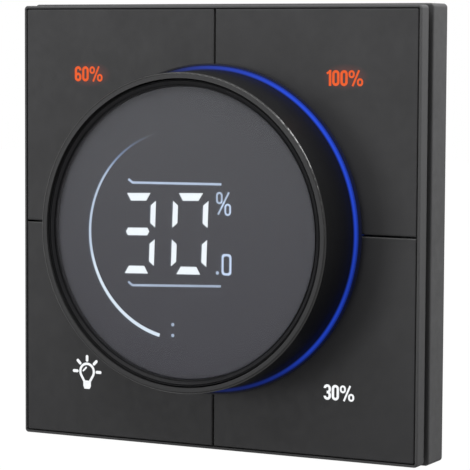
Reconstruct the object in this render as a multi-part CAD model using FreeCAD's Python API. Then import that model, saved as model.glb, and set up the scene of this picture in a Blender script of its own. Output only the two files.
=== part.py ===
import FreeCAD, Part
import math
import os

# A square wall dimmer: four push keys around a rotary knob with a display
#
# Frame of the part: +Z up, +X to the right, the front faces -Y.
# The wall's surface is the plane Y = 0. A depth "d" is a distance in front
# of the wall, so Y = -d, and a negative depth lies inside the wall box.
# The origin is midway between the two wall screws.

Vector = FreeCAD.Vector

# Driving dimensions, millimetres

# outer frame, the part that is screwed to the wall
frame_side = 86.0          # standard square plate
frame_wall = 2.0
frame_floor = 1.6
frame_corner_r = 0.8
frame_edge_r = 0.3
floor_hole_r = 22.0        # hole in the frame's floor, for the connectors
screw_pitch = 60.3         # standard wall box, screw to screw
slot_width = 4.4
slot_length = 8.5

# keys, and the thin side wall of the carrier plate around them
surround_inset = 0.35      # the wall stands in from the frame's side
surround_wall = 0.5
surround_floor = 0.5       # ledge from the carrier's rim out to the wall
surround_corner_r = 0.7
surround_edge_r = 0.3
key_side_gap = 0.2         # keys to the wall
key_plate = 1.6
key_skirt = 1.2
key_slit = 0.4             # gap between neighbouring keys
key_corner_r = 0.3
key_edge_r = 0.25
key_travel = 0.8
key_stop_gap = 0.8         # pressed key's skirt to the frame's front edge
key_hole_gap = 0.4         # round hole in the keys, around the ring's foot
leg_inset = 2.3            # carrier's rim to the middle of a guide leg
leg_along = 14.0           # guide legs, along the side
leg_width = 3.0
leg_thickness = 1.4
leg_clearance = 0.3
hook_reach = 0.9
hook_height = 1.2
hook_gap = 0.2
hook_floor_gap = 0.6       # pressed hook to the frame's floor

# carrier plate, the base of the front module
carrier_thickness = 1.5
carrier_gap = 0.3          # to the frame's inner walls
carrier_rim = 1.2
carrier_sink = 0.6         # carrier's front face below the frame's front edge
post_r = 2.5
post_inset = 7.7           # carrier's side to the middle of a frame post
snap_length = 10.0
snap_height = 0.8
snap_reach = 0.8

# control board
board_thickness = 1.0
board_gap = 0.3
radio_length = 16.0
radio_width = 7.4
radio_base = 0.8
radio_can = 1.2
chip_side = 7.0
chip_height = 0.9
chip_gap = 1.3             # board's round hole to the chip
led_length = 1.6
led_width = 0.8
led_height = 0.7
sensor_side = 3.0
sensor_height = 1.0
sensor_angles = (-35.0, -60.0)

# key switches
switch_side = 6.2
switch_base = 0.1
switch_inset = 7.95        # key's outer side to the middle of its switch
switch_gap = 0.4           # switch to the rear of a pressed key
stem_r = 1.6
stem_clearance = 0.05
stem_hold = 0.45           # length of stem inside its switch at rest
stem_end_gap = 0.15

# legends, clear inlays in the keys' face
legend_inset_x = 14.35     # key's outer sides to the middle of its light well
legend_inset_z = 12.65
legend_height = 2.95
legend_stroke = 0.5
legend_depth = 0.4
legend_shift = {           # from the middle of a legend's light well to its own
    "top_left": (-0.2, 0.05),
    "top_right": (-0.4, -0.2),
    "bottom_left": (-0.55, -0.15),
    "bottom_right": (-0.95, -0.45),
}
figure_width = 1.5
figure_one_width = 1.15
figure_percent_width = 2.95
figure_gap = 0.17
lamp_r = 1.8               # lamp sign: its glass, the neck below, cap, glint and rays
lamp_neck = 2.05
lamp_cap_width = 1.75
lamp_cap_height = 1.4
lamp_tip_width = 1.2
lamp_tip_height = 0.6
lamp_glint = 0.35
lamp_ray_width = 0.6
lamp_ray_in = 1.95
lamp_ray_out = 3.3
light_well_x = 8.6         # thin patch behind each legend, for the light
light_well_z = 7.6
light_well_wall = 0.7

# display glass and bezel
ring_margin = 10.75        # keys' side edge to the light ring
glass_gap = 0.05
glass_thickness = 1.1
bezel_wall = 1.2
bezel_seat_depth = 3.15    # glass front to the bezel's seat
bezel_rise = 0.35          # bezel's outer edge above the glass
display_side_gap = 0.25    # turning knob to the fixed bezel

# knob
rim_width = 1.1            # flat rim at the knob's front
rim_rise = 0.85            # rim above the glass
knob_taper = 0.3
knob_base_wall = 1.3
knob_edge_r = 0.35
web_rise = 1.1             # knob's rear edge to its web
web_thickness = 1.5
web_hole_count = 6
web_hole_r = 2.6
bearing_clearance = 0.05
press_clearance = 0.05
hub_wall = 2.45
inner_tube_gap = 0.7       # light ring to the knob's inner tube
inner_tube_wall = 1.5
magnet_share = 0.102       # magnet ring's width, as a share of the glass's radius
magnet_height = 2.0
magnet_gap = 1.3           # control board's sensors to the magnet ring

# light ring around the knob
ring_top_h = 2.3           # above the keys' face
ring_flange = 0.7
ring_show = 0.85           # width of ring that shows around the knob
ring_tube_wall = 0.9
ring_tube_inset = 0.45     # inside the knob's mouth
ring_knob_gap = 0.2
ring_led_count = 12
collar_wall = 1.0
collar_floor = 0.35
collar_lip = 0.3
collar_gap = 0.1

# knob's bearing and clicks
sleeve_share = 0.32787     # bearing sleeve's radius, as a share of the glass's
sleeve_wall = 1.0
washer_thickness = 0.4
washer_wall = 2.9
washer_gap = 0.1
boss_height = 3.3          # carrier's shoulder under the washer
detent_teeth = 24
detent_wall = 3.0
detent_height = 2.8
detent_rise = 0.5          # hub's rear end to the notched ring
detent_notch_r = 0.55
spring_gap = 0.3
spring_thickness = 0.4
spring_width = 2.4
spring_share = 0.4736      # spring's length, as a share of the glass's radius
spring_nose_r = 1.0
grip_wall = 1.2

# display, fixed in the middle of the knob
display_gap = 0.4          # knob's web to the display housing
display_floor = 1.3
display_wall = 2.5
post_gap = 0.1
post_skin = 0.5            # plastic left beside the post's screws
display_board_thickness = 1.0
segment_block_height = 3.6
light_shaft_floor = 0.6    # reflector block's wall behind its light shafts
light_shaft_skin = 0.4
segment_height = 0.45
mask_thickness = 0.2
cable_side_gap = 1.4       # post's bore to the cable's edge
cable_thickness = 0.3
cable_bend_r = 0.9
cable_drop = 1.2           # carrier's rear face to the flat run of cable
cable_margin = 1.0         # plastic between the spring's grips and the plug
cable_plug_length = 10.0
cable_plug_width = 3.4
cable_plug_height = 1.3
post_screw_r = 0.7
post_screw_length = 7.0
post_screw_head_r = 1.4
post_screw_head = 1.2

# rear housing, in the wall box
slot_margin = 0.4          # wall screws' slots to the housing
housing_depth = 27.0
housing_wall = 1.6
housing_corner_r = 2.0
boss_inset = 1.5           # housing's inner side to the middle of a boss
housing_boss_r = 2.6
housing_boss_height = 9.0
housing_screw_r = 1.0
housing_screw_length = 7.0
housing_screw_head_r = 2.0
housing_screw_head = 1.3
screw_clearance = 0.2
cross_long = 1.3           # cross recess, as shares of the head's radius
cross_short = 0.3
cross_deep = 0.35
vent_count = 5
vent_width = 1.4
vent_length = 12.0
vent_pitch = 3.2
vent_z = 10.2

# power board and its parts
power_board_depth = 6.0    # wall plane to the board's front
power_board_thickness = 1.6
power_board_gap = 0.5
rib_width = 6.0
rib_reach = 1.4
header_pins = 6
header_pitch = 2.54
pin_side = 0.64
pin_end_gap = 0.2
header_gap = 1.45          # bearing's boss to the socket's window
header_width = 2.5
header_height = 2.5
socket_length = 17.0
socket_width = 4.6
socket_roof = 0.6
socket_clearance = 0.1
window_clearance = 0.7
capacitor_r = 5.0
capacitor_end_gap = 3.8     # can's end to the housing's rear wall
capacitor_place = (15.0, 13.0)
capacitor_groove = 0.3
groove_rise = 1.8          # board to the groove in the can's foot
groove_width = 0.8
transformer_length = 15.0
transformer_width = 13.0
transformer_end_gap = 4.3
transformer_place = (0.0, 12.0)
transformer_foot = 2.0
transformer_cheek = 1.2    # bobbin's rear flange
transformer_core_rise = 1.0
film_length = 13.0
film_width = 5.0
film_end_gap = 7.3
film_place = (12.5, 1.2)
choke_r = 5.0
choke_bore_r = 2.4
choke_height = 5.0
choke_place = (-2.5, -1.0)
fuse_r = 2.2
fuse_length = 8.5
fuse_place = (9.75, -8.0)
sink_thickness = 1.4
sink_length = 26.0
sink_end_gap = 3.3
sink_flange = 8.0
sink_inset = 2.4           # board's left edge to the heat sink
sink_z = 4.0
transistor_width = 9.6
transistor_end_gap = 0.9    # transistor's end to the heat sink's flange
transistor_thickness = 4.2
transistor_pitch = 12.0
transistor_leg = 3.2
transistor_leg_width = 1.0
transistor_leg_thickness = 0.6
transistor_leg_inset = 1.6
insulator_thickness = 0.4

# terminals
terminal_count = 4
terminal_side_margin = 4.5  # housing's side to the terminal block
terminal_end_wall = 1.0
terminal_top_wall = 3.5
terminal_front_wall = 1.6
terminal_web = 2.1         # screw's well to the clamp
entry_side = 4.8
clamp_wall = 0.8
clamp_height = 5.5
clamp_rise = 3.0           # housing's lower face to the clamp
clamp_inner_depth = 5.2
clamp_clearance = 0.1
terminal_screw_r = 1.4
terminal_head_r = 2.1
terminal_head = 1.6
terminal_well_r = 2.4
terminal_well = 3.0
terminal_driver_slot = 0.6
terminal_leg_width = 1.2
terminal_leg_thickness = 0.8

# Depths, from the wall forward

frame_depth = (frame_floor + hook_floor_gap + key_travel + hook_height + hook_gap
               + carrier_thickness + carrier_sink)
carrier_front_d = frame_depth - carrier_sink
carrier_back_d = carrier_front_d - carrier_thickness
board_front_d = carrier_front_d + board_thickness
switch_height = switch_base + stem_end_gap + key_travel + stem_hold
key_back_d = board_front_d + switch_height + switch_gap + key_travel
face_d = key_back_d + key_plate
key_rear_d = frame_depth + key_travel + key_stop_gap
rim_top_d = key_back_d - key_travel - leg_clearance
surround_rear_d = rim_top_d - surround_floor

ring_top_d = face_d + ring_top_h
ring_flange_d = ring_top_d - ring_flange
knob_rear_d = ring_top_d + ring_knob_gap
web_rear_d = knob_rear_d + web_rise
web_front_d = web_rear_d + web_thickness
boss_top_d = carrier_front_d + boss_height
washer_top_d = boss_top_d + washer_thickness
hub_rear_d = washer_top_d + washer_gap
detent_rear_d = hub_rear_d + detent_rise
detent_front_d = detent_rear_d + detent_height
magnet_rear_d = board_front_d + sensor_height + magnet_gap

display_floor_d = web_front_d + display_gap
display_board_d = display_floor_d + display_floor
segment_block_d = display_board_d + display_board_thickness
segment_back_d = segment_block_d + segment_block_height
mask_front_d = segment_back_d + segment_height
mask_back_d = mask_front_d - mask_thickness
glass_front_d = mask_front_d + glass_thickness
bezel_seat_d = glass_front_d - bezel_seat_depth
knob_front_d = glass_front_d + rim_rise

# Places across the face, from the middle outwards

surround_half = frame_side / 2 - surround_inset
surround_in = surround_half - surround_wall
keys_half = surround_in - key_side_gap
frame_inner_half = frame_side / 2 - frame_wall
carrier_half = frame_inner_half - carrier_gap
board_half = carrier_half - carrier_rim - board_gap
leg_offset = carrier_half - carrier_rim - leg_inset
post_offset = carrier_half - post_inset
switch_offset = keys_half - switch_inset
legend_x = keys_half - legend_inset_x
legend_z = keys_half - legend_inset_z

glass_r = (keys_half - ring_margin - ring_show - knob_taper - rim_width - display_side_gap
           - bezel_wall - glass_gap)
sleeve_r = glass_r * sleeve_share
spring_length = glass_r * spring_share
magnet_width = glass_r * magnet_share
bezel_in = glass_r + glass_gap
bezel_r = bezel_in + bezel_wall
knob_mouth_r = bezel_r + display_side_gap
knob_front_r = knob_mouth_r + rim_width
knob_rear_r = knob_front_r + knob_taper
ring_r = knob_rear_r + ring_show
ring_tube_r = knob_mouth_r - ring_tube_inset
ring_tube_in = ring_tube_r - ring_tube_wall
ring_led_r = ring_tube_r - ring_tube_wall / 2
collar_in = ring_tube_r + collar_gap
collar_r = collar_in + collar_wall
key_hole_r = collar_r + key_hole_gap
inner_tube_r = ring_tube_in - inner_tube_gap
magnet_out = inner_tube_r - inner_tube_wall - press_clearance
magnet_in = magnet_out - magnet_width
sensor_r = (magnet_in + magnet_out) / 2

boss_r = sleeve_r + washer_wall
board_hole_r = boss_r + board_gap
hub_in = sleeve_r + bearing_clearance
hub_r = hub_in + hub_wall
web_hole_offset = (hub_r + inner_tube_r - inner_tube_wall) / 2
detent_in = hub_r + press_clearance
detent_out = detent_in + detent_wall
sleeve_bore = sleeve_r - sleeve_wall
post_out = sleeve_bore - post_gap
post_wall = 2 * (post_screw_r + press_clearance + post_skin)
post_bore_r = post_out - post_wall
display_in = bezel_r - display_wall
radio_z = board_hole_r + leg_clearance + radio_width / 2
chip_x = -(board_hole_r + chip_gap + chip_side / 2)
spring_z = -(detent_out + spring_gap + spring_nose_r / 2)
grip_low_z = spring_z - spring_thickness - grip_wall
header_z = boss_r + header_gap + (socket_width + window_clearance) / 2
cable_width = 2 * (post_bore_r - cable_side_gap)
plug_z = grip_low_z - cable_margin - (cable_plug_width + window_clearance) / 2

# Figures on the display, as shares of the glass's radius

digit_height = glass_r * 0.5556
digit_width = glass_r * 0.2732
digit_lean = 0.034         # sideways for each step up
digit_tilt = 0.030         # upwards for each step right
digit_centre_z = -glass_r * 0.0044
left_digit_x = -glass_r * 0.3643
right_digit_x = glass_r * 0.0425
bar_length = glass_r * 0.184
bar_across = glass_r * 0.0525
bar_upright = glass_r * 0.0392
bar_end = glass_r * 0.0315
bar_middle = glass_r * 0.1325
middle_bar_rise = glass_r * 0.0122
small_stroke = glass_r * 0.01275
rule_left = -glass_r * 0.4044
rule_right = glass_r * 0.2842
rule_places = ((glass_r * 0.3381, 0.0125), (-glass_r * 0.3608, 0.0394))   # height at x 0, tilt
rule_stroke = glass_r * 0.0155
rule_tick = glass_r * 0.0328
arc_place = (-glass_r * 0.0291, -glass_r * 0.0182)
arc_r = glass_r * 0.7235
arc_thin = glass_r * 0.0125
arc_thick = glass_r * 0.0237
arc_start = 106.0
arc_end = 257.0
percent_left = (glass_r * 0.2696, glass_r * 0.2485)
percent_right = (glass_r * 0.3337, glass_r * 0.1712)
percent_ring = (glass_r * 0.0492, glass_r * 0.082)
percent_foot = (glass_r * 0.2605, glass_r * 0.1366)
percent_head = (glass_r * 0.3424, glass_r * 0.2896)
tenths_place = (glass_r * 0.3263, -glass_r * 0.2011)
tenths_size = (glass_r * 0.0747, glass_r * 0.1457)
tenths_stroke = glass_r * 0.0153
tenths_corner = glass_r * 0.024
point_place = (glass_r * 0.2573, -glass_r * 0.2598)
dot_r = glass_r * 0.01166
dots_x = -glass_r * 0.0856
dots_z = (-glass_r * 0.6321, -glass_r * 0.7067)

# Sizes behind the wall plane

housing_half = screw_pitch / 2 - slot_length / 2 - slot_margin
housing_inner_half = housing_half - housing_wall
boss_offset = housing_inner_half - boss_inset
power_rear_y = power_board_depth + power_board_thickness
power_board_half = housing_inner_half - power_board_gap
power_room = housing_depth - housing_wall - power_rear_y
capacitor_height = power_room - capacitor_end_gap
transformer_height = power_room - transformer_end_gap
film_height = power_room - film_end_gap
sink_height = power_room - sink_end_gap
transistor_height = sink_height - sink_thickness - transistor_leg - transistor_end_gap
sink_x = -power_board_half + sink_inset
terminal_width = 2 * (housing_half - terminal_side_margin)
terminal_pitch = (terminal_width - 2 * terminal_end_wall) / terminal_count
entry_y = housing_depth - (terminal_well + terminal_web + clamp_wall + clamp_inner_depth / 2)
terminal_front_y = entry_y - clamp_inner_depth / 2 - clamp_wall - terminal_front_wall
terminal_top_z = clamp_rise + clamp_height + terminal_top_wall - housing_half
clamp_z = clamp_rise + clamp_height / 2 - housing_half


# Helpers

def block(x0, x1, d0, d1, z0, z1):
    """A box between two x, two depths and two heights."""
    return Part.makeBox(x1 - x0, d1 - d0, z1 - z0, Vector(x0, -d1, z0))


def centred_block(x, z, size_x, size_z, d0, d1):
    return block(x - size_x / 2, x + size_x / 2, d0, d1, z - size_z / 2, z + size_z / 2)


def disc(r, d0, d1, x=0.0, z=0.0):
    """A round bar along the depth, its axis at x, z."""
    return Part.makeCylinder(r, d1 - d0, Vector(x, -d0, z), Vector(0, -1, 0))


def tube(r_in, r_out, d0, d1, x=0.0, z=0.0):
    return disc(r_out, d0, d1, x, z).cut(disc(r_in, d0, d1, x, z))


def square_block(half, corner_r, d0, d1):
    """A square plate about the origin with rounded corners."""
    solid = block(-half, half, d0, d1, -half, half)
    corners = [e for e in solid.Edges if abs(e.tangentAt(e.FirstParameter).y) > 0.9]
    return solid.makeFillet(corner_r, corners)


def turned(profile):
    """A closed profile of (radius, depth) points, turned about the knob's axis."""
    points = [Vector(r, -d, 0) for r, d in profile]
    face = Part.Face(Part.makePolygon(points + points[:1]))
    return face.revolve(Vector(0, 0, 0), Vector(0, 1, 0), 360)


def fuse_all(shapes):
    first = shapes[0]
    if len(shapes) > 1:
        first = first.multiFuse(shapes[1:])
    return first.removeSplitter()


def cut_all(solid, tools):
    for tool in tools:
        solid = solid.cut(tool)
    return solid


def corners(x, z):
    """The four places at plus and minus x, plus and minus z."""
    return [(sx * x, sz * z) for sx in (-1, 1) for sz in (-1, 1)]


def around(r, count, start=0.0):
    """Places evenly spaced on a circle."""
    step = 360.0 / count
    angles = [math.radians(start + step * i) for i in range(count)]
    return [(r * math.cos(a), r * math.sin(a)) for a in angles]


def plate_from(points, d0, d1):
    """A plate whose outline is a polygon of (x, z) points."""
    outline = [Vector(x, -d0, z) for x, z in points]
    face = Part.Face(Part.makePolygon(outline + outline[:1]))
    return face.extrude(Vector(0, d0 - d1, 0))


def stroke(start, end, width, d0, d1):
    """A straight stroke with square ends from one (x, z) point to another."""
    (x0, z0), (x1, z1) = start, end
    length = math.hypot(x1 - x0, z1 - z0)
    across_x = -(z1 - z0) / length * width / 2
    across_z = (x1 - x0) / length * width / 2
    outline = [(x0 + across_x, z0 + across_z), (x1 + across_x, z1 + across_z),
               (x1 - across_x, z1 - across_z), (x0 - across_x, z0 - across_z)]
    return plate_from(outline, d0, d1)


def round_stroke(start, end, width, d0, d1):
    """A straight stroke with round ends, which reach just to the two points."""
    (x0, z0), (x1, z1) = start, end
    length = math.hypot(x1 - x0, z1 - z0)
    step_x, step_z = (x1 - x0) / length * width / 2, (z1 - z0) / length * width / 2
    first, last = (x0 + step_x, z0 + step_z), (x1 - step_x, z1 - step_z)
    ends = [disc(width / 2, d0, d1, x, z) for x, z in (first, last)]
    return fuse_all([stroke(first, last, width, d0, d1)] + ends)


def soft_ring(x, z, size_x, size_z, width, corner_r, d0, d1):
    """An upright rectangular ring with rounded corners."""
    def bar(w, h, r):
        solid = centred_block(x, z, w, h, d0, d1)
        upright = [e for e in solid.Edges if abs(e.tangentAt(e.FirstParameter).y) > 0.9]
        return solid.makeFillet(r, upright)
    inside = bar(size_x - 2 * width, size_z - 2 * width, corner_r - width / 2)
    return bar(size_x, size_z, corner_r).cut(inside)


def oval(x, z, size_x, size_z, width, d0, d1):
    """A narrow upright ring with round ends, as in the figure 0."""
    def bar(w, h):
        middle = centred_block(x, z, w, h - w, d0, d1)
        ends = [disc(w / 2, d0, d1, x, z + side * (h - w) / 2) for side in (-1, 1)]
        return fuse_all([middle] + ends)
    return bar(size_x, size_z).cut(bar(size_x - 2 * width, size_z - 2 * width))


# Outer frame and rear housing

def make_outer_frame():
    """Square tray: side walls, a floor on the wall, slots for the wall screws."""
    outer = square_block(frame_side / 2, frame_corner_r, 0, frame_depth)
    front = [e for e in outer.Edges if all(abs(v.Y + frame_depth) < 1e-6 for v in e.Vertexes)]
    outer = outer.makeFillet(frame_edge_r, front)
    inside = square_block(frame_inner_half, frame_corner_r, frame_floor, frame_depth)
    frame = outer.cut(inside).cut(disc(floor_hole_r, 0, frame_floor))
    posts = [disc(post_r, frame_floor, carrier_back_d, x, z)
             for x, z in corners(post_offset, post_offset)]
    frame = fuse_all([frame] + posts)
    straight = slot_length - slot_width
    for side in (-1, 1):
        x = side * screw_pitch / 2
        slot = fuse_all([centred_block(x, 0, straight, slot_width, 0, frame_floor),
                         disc(slot_width / 2, 0, frame_floor, x - straight / 2, 0),
                         disc(slot_width / 2, 0, frame_floor, x + straight / 2, 0)])
        frame = frame.cut(slot)
    holes = [disc(housing_screw_r + screw_clearance, 0, frame_floor, x, z)
             for x, z in corners(boss_offset, boss_offset)]
    return cut_all(frame, holes + snap_tongues(leg_clearance))


def snap_tongues(clearance=0.0):
    """Tongues in the middle of the carrier's sides, or the recesses for them."""
    middle_d = carrier_back_d + carrier_thickness / 2
    reach = carrier_half + snap_reach + carrier_gap / 2 + clearance
    half_long = snap_length / 2 + clearance
    half_high = snap_height / 2 + clearance / 2
    inner = carrier_half - carrier_rim / 2
    pieces = []
    for side in (-1, 1):
        near, far = sorted((side * inner, side * reach))
        pieces.append(block(near, far, middle_d - half_high, middle_d + half_high,
                            -half_long, half_long))
        pieces.append(block(-half_long, half_long, middle_d - half_high,
                            middle_d + half_high, near, far))
    return pieces


def make_rear_housing():
    """Deep box behind the wall plane, open to the front."""
    shell = square_block(housing_half, housing_corner_r, -housing_depth, 0)
    inside = square_block(housing_inner_half, housing_corner_r - housing_wall / 2,
                          -housing_depth + housing_wall, 0)
    shell = shell.cut(inside)
    bosses = [disc(housing_boss_r, -housing_boss_height, 0, x, z)
              for x, z in corners(boss_offset, boss_offset)]
    ribs = []
    for side in (-1, 1):
        x0, x1 = sorted((side * (housing_inner_half - rib_reach), side * housing_inner_half))
        ribs.append(block(x0, x1, -housing_depth + housing_wall, -power_rear_y,
                          -rib_width / 2, rib_width / 2))
    shell = fuse_all([shell] + bosses + ribs)
    pilots = [disc(housing_screw_r + press_clearance, -housing_boss_height, 0, x, z)
              for x, z in corners(boss_offset, boss_offset)]
    terminal_bay = block(-terminal_width / 2, terminal_width / 2, -housing_depth,
                         -terminal_front_y, -housing_half, terminal_top_z)
    vents = []
    for i in range(vent_count):
        z = vent_z + (i - (vent_count - 1) / 2) * vent_pitch
        vents.append(centred_block(0, z, vent_length, vent_width,
                                   -housing_depth, -housing_depth + housing_wall))
    return cut_all(shell, pilots + [terminal_bay] + vents)


def make_housing_screws():
    """Four self-tapping screws that hold the housing to the frame."""
    screws = []
    for x, z in corners(boss_offset, boss_offset):
        head = disc(housing_screw_head_r, frame_floor, frame_floor + housing_screw_head, x, z)
        shank = disc(housing_screw_r, frame_floor - housing_screw_length, frame_floor, x, z)
        screws.append(cross_slotted(fuse_all([head, shank]), x, z,
                                    frame_floor + housing_screw_head, housing_screw_head_r))
    return Part.Compound(screws)


def cross_slotted(screw, x, z, top_d, head_r, facing=1):
    """Cut a cross recess in a screw's head, which faces forward or back."""
    long_side = head_r * cross_long
    short_side = head_r * cross_short
    low, high = sorted((top_d, top_d - facing * head_r * cross_deep))
    for size_x, size_z in ((long_side, short_side), (short_side, long_side)):
        screw = screw.cut(centred_block(x, z, size_x, size_z, low, high))
    return screw


# Terminals

def terminal_places():
    first = -terminal_pitch * (terminal_count - 1) / 2
    return [first + terminal_pitch * i for i in range(terminal_count)]


def clamp_outline(x, clearance=0.0):
    """Outer block of one terminal clamp, grown by a clearance."""
    half_x = entry_side / 2 + clamp_wall + clearance
    half_y = clamp_inner_depth / 2 + clamp_wall + clearance
    z0 = -housing_half + clamp_rise - clearance
    return block(x - half_x, x + half_x, -entry_y - half_y, -entry_y + half_y,
                 z0, z0 + clamp_height + 2 * clearance)


def leg_outline(x, clearance=0.0):
    """The leg that joins a terminal clamp to the power board."""
    half_x = terminal_leg_width / 2 + clearance
    half_z = terminal_leg_thickness / 2 + clearance
    return block(x - half_x, x + half_x, -entry_y + clamp_inner_depth / 2,
                 -power_board_depth + terminal_leg_thickness, clamp_z - half_z, clamp_z + half_z)


def make_terminal_block():
    """Block of four ways: wires enter from below, screws are reached from behind."""
    body = block(-terminal_width / 2, terminal_width / 2, -housing_depth,
                 -terminal_front_y, -housing_half, terminal_top_z)
    well_d = -housing_depth + terminal_well
    for x in terminal_places():
        body = body.cut(block(x - entry_side / 2, x + entry_side / 2,
                              -entry_y - entry_side / 2, -entry_y + entry_side / 2,
                              -housing_half, -housing_half + clamp_rise + clamp_height))
        body = body.cut(clamp_outline(x, clamp_clearance))
        body = body.cut(leg_outline(x, clamp_clearance))
        body = body.cut(disc(terminal_well_r, -housing_depth, well_d, x, clamp_z))
        body = body.cut(disc(terminal_screw_r + clamp_clearance, well_d, -entry_y, x, clamp_z))
    return body


def make_terminal_clamps():
    """Four brass cages, each with a leg soldered in the power board."""
    clamps = []
    for x in terminal_places():
        z0 = -housing_half + clamp_rise
        cage = clamp_outline(x).cut(block(
            x - entry_side / 2, x + entry_side / 2, -entry_y - clamp_inner_depth / 2,
            -entry_y + clamp_inner_depth / 2, z0, z0 + clamp_height))
        cage = cage.cut(disc(terminal_screw_r + press_clearance,
                             -entry_y - clamp_inner_depth, -entry_y, x, clamp_z))
        clamps.append(fuse_all([cage, leg_outline(x)]))
    return Part.Compound(clamps)


def make_terminal_screws():
    screws = []
    head_base = -housing_depth + terminal_well
    tip = -entry_y - entry_side / 2
    for x in terminal_places():
        head = disc(terminal_head_r, head_base - terminal_head, head_base, x, clamp_z)
        shank = disc(terminal_screw_r, head_base, tip, x, clamp_z)
        driver = centred_block(x, clamp_z, 2 * terminal_head_r, terminal_driver_slot,
                               head_base - terminal_head, head_base - terminal_head / 2)
        screws.append(fuse_all([head, shank]).cut(driver))
    return Part.Compound(screws)


# Power board

def make_power_board():
    """Board behind the wall plane, with its corners cut away for the bosses."""
    y0, y1 = power_board_depth, power_rear_y
    board = block(-power_board_half, power_board_half, -y1, -y0,
                  -power_board_half, power_board_half)
    notch = 2 * (housing_boss_r + power_board_gap)
    notches = [centred_block(x, z, notch, notch, -y1, -y0)
               for x, z in corners(boss_offset, boss_offset)]
    holes = [leg_outline(x, clamp_clearance) for x in terminal_places()]
    holes += [centred_block(x, header_z, pin_side + socket_clearance,
                            pin_side + socket_clearance, -y1, -y0) for x in pin_places()]
    return cut_all(board, notches + holes)


def pin_places():
    first = -header_pitch * (header_pins - 1) / 2
    return [first + header_pitch * i for i in range(header_pins)]


def make_pin_header():
    """Row of pins from the power board into the front module's socket."""
    length = header_pitch * header_pins
    base = centred_block(0, header_z, length, header_width,
                         -power_board_depth, -power_board_depth + header_height)
    top_d = carrier_front_d - socket_roof - pin_end_gap
    pins = [centred_block(x, header_z, pin_side, pin_side, -power_rear_y, top_d)
            for x in pin_places()]
    return fuse_all([base] + pins)


def make_header_socket():
    """Socket under the control board, which takes the row of pins."""
    body = centred_block(0, header_z, socket_length, socket_width, frame_floor, carrier_front_d)
    side = pin_side + 2 * socket_clearance
    holes = [centred_block(x, header_z, side, side, frame_floor, carrier_front_d - socket_roof)
             for x in pin_places()]
    return cut_all(body, holes)


def make_bulk_capacitor():
    """Round can that stands on the power board, with a groove at its foot."""
    y0 = power_rear_y
    x, z = capacitor_place
    can = disc(capacitor_r, -y0 - capacitor_height, -y0, x, z)
    groove = tube(capacitor_r - capacitor_groove, capacitor_r + capacitor_groove,
                  -y0 - groove_rise - groove_width, -y0 - groove_rise, x, z)
    return can.cut(groove)


def make_transformer():
    """Small high-frequency transformer: a winding between the halves of a core."""
    x, z = transformer_place
    y0 = power_rear_y
    foot_d = -y0 - transformer_foot
    end_d = -y0 - transformer_height
    cheek_d = end_d + transformer_core_rise
    core = centred_block(x, z, transformer_length, transformer_width * 0.5, end_d, foot_d)
    base = centred_block(x, z, transformer_length * 0.9, transformer_width, foot_d, -y0)
    top = centred_block(x, z, transformer_length * 0.7, transformer_width,
                        cheek_d, cheek_d + transformer_cheek)
    winding = centred_block(x, z, transformer_length * 0.6, transformer_width * 0.85,
                            cheek_d + transformer_cheek, foot_d)
    return fuse_all([core, base, top, winding])


def make_film_capacitor():
    y0 = power_rear_y
    x, z = film_place
    return centred_block(x, z, film_length, film_width, -y0 - film_height, -y0)


def make_choke():
    """Ring-wound choke that lies flat on the power board."""
    y0 = power_rear_y
    x, z = choke_place
    return tube(choke_bore_r, choke_r, -y0 - choke_height, -y0, x, z)


def make_fuse():
    """Glass fuse with its caps, across the board above the terminals."""
    x, z = fuse_place
    start = Vector(x - fuse_length / 2, power_rear_y + fuse_r, z)
    return Part.makeCylinder(fuse_r, fuse_length, start, Vector(1, 0, 0))


def make_heat_sink():
    """Folded aluminium plate along the housing's left side."""
    z0, z1 = sink_z - sink_length / 2, sink_z + sink_length / 2
    end_d = -power_rear_y - sink_height
    upright = block(sink_x, sink_x + sink_thickness, end_d, -power_rear_y, z0, z1)
    flange = block(sink_x, sink_x + sink_flange, end_d, end_d + sink_thickness, z0, z1)
    return fuse_all([upright, flange])


def make_dimmer_transistors():
    """Two power transistors flat against the heat sink, with their legs."""
    x0 = sink_x + sink_thickness
    y0 = power_rear_y
    parts = []
    for side in (-1, 1):
        z = sink_z + side * transistor_pitch / 2
        body = block(x0, x0 + transistor_thickness, -y0 - transistor_leg - transistor_height,
                     -y0 - transistor_leg, z - transistor_width / 2, z + transistor_width / 2)
        leg_x = x0 + transistor_leg_inset + transistor_leg_thickness / 2
        legs = [centred_block(leg_x, z + k * header_pitch, transistor_leg_thickness,
                              transistor_leg_width, -y0 - transistor_leg, -y0) for k in (-1, 0, 1)]
        parts.append(fuse_all([body] + legs))
    return Part.Compound(parts)


def make_insulating_sheet():
    """Thin sheet over the front of the power board, held by the frame's floor."""
    sheet = square_block(housing_inner_half - carrier_gap, housing_corner_r, -insulator_thickness, 0)
    bosses = [disc(housing_boss_r + leg_clearance, -insulator_thickness, 0, x, z)
              for x, z in corners(boss_offset, boss_offset)]
    opening = centred_block(0, header_z, socket_length + window_clearance,
                            socket_width + window_clearance, -insulator_thickness, 0)
    return cut_all(sheet, bosses + [opening])


# Carrier plate and control board

def leg_places(sx, sz):
    """Middle of each guide leg of one key, with the side its hook points to."""
    return [(sx * leg_along, sz * leg_offset, 0, sz), (sx * leg_offset, sz * leg_along, sx, 0)]


def leg_box(place, grow, room, d0, d1):
    """Box around a guide leg; room lets the hook swing inwards as it is fitted."""
    x, z, out_x, out_z = place
    long_x = leg_thickness if out_x else leg_width
    long_z = leg_width if out_x else leg_thickness
    shift_x, shift_z = -out_x * room / 2, -out_z * room / 2
    size_x = long_x + 2 * grow + abs(out_x) * room
    size_z = long_z + 2 * grow + abs(out_z) * room
    return centred_block(x + shift_x, z + shift_z, size_x, size_z, d0, d1)


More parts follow.
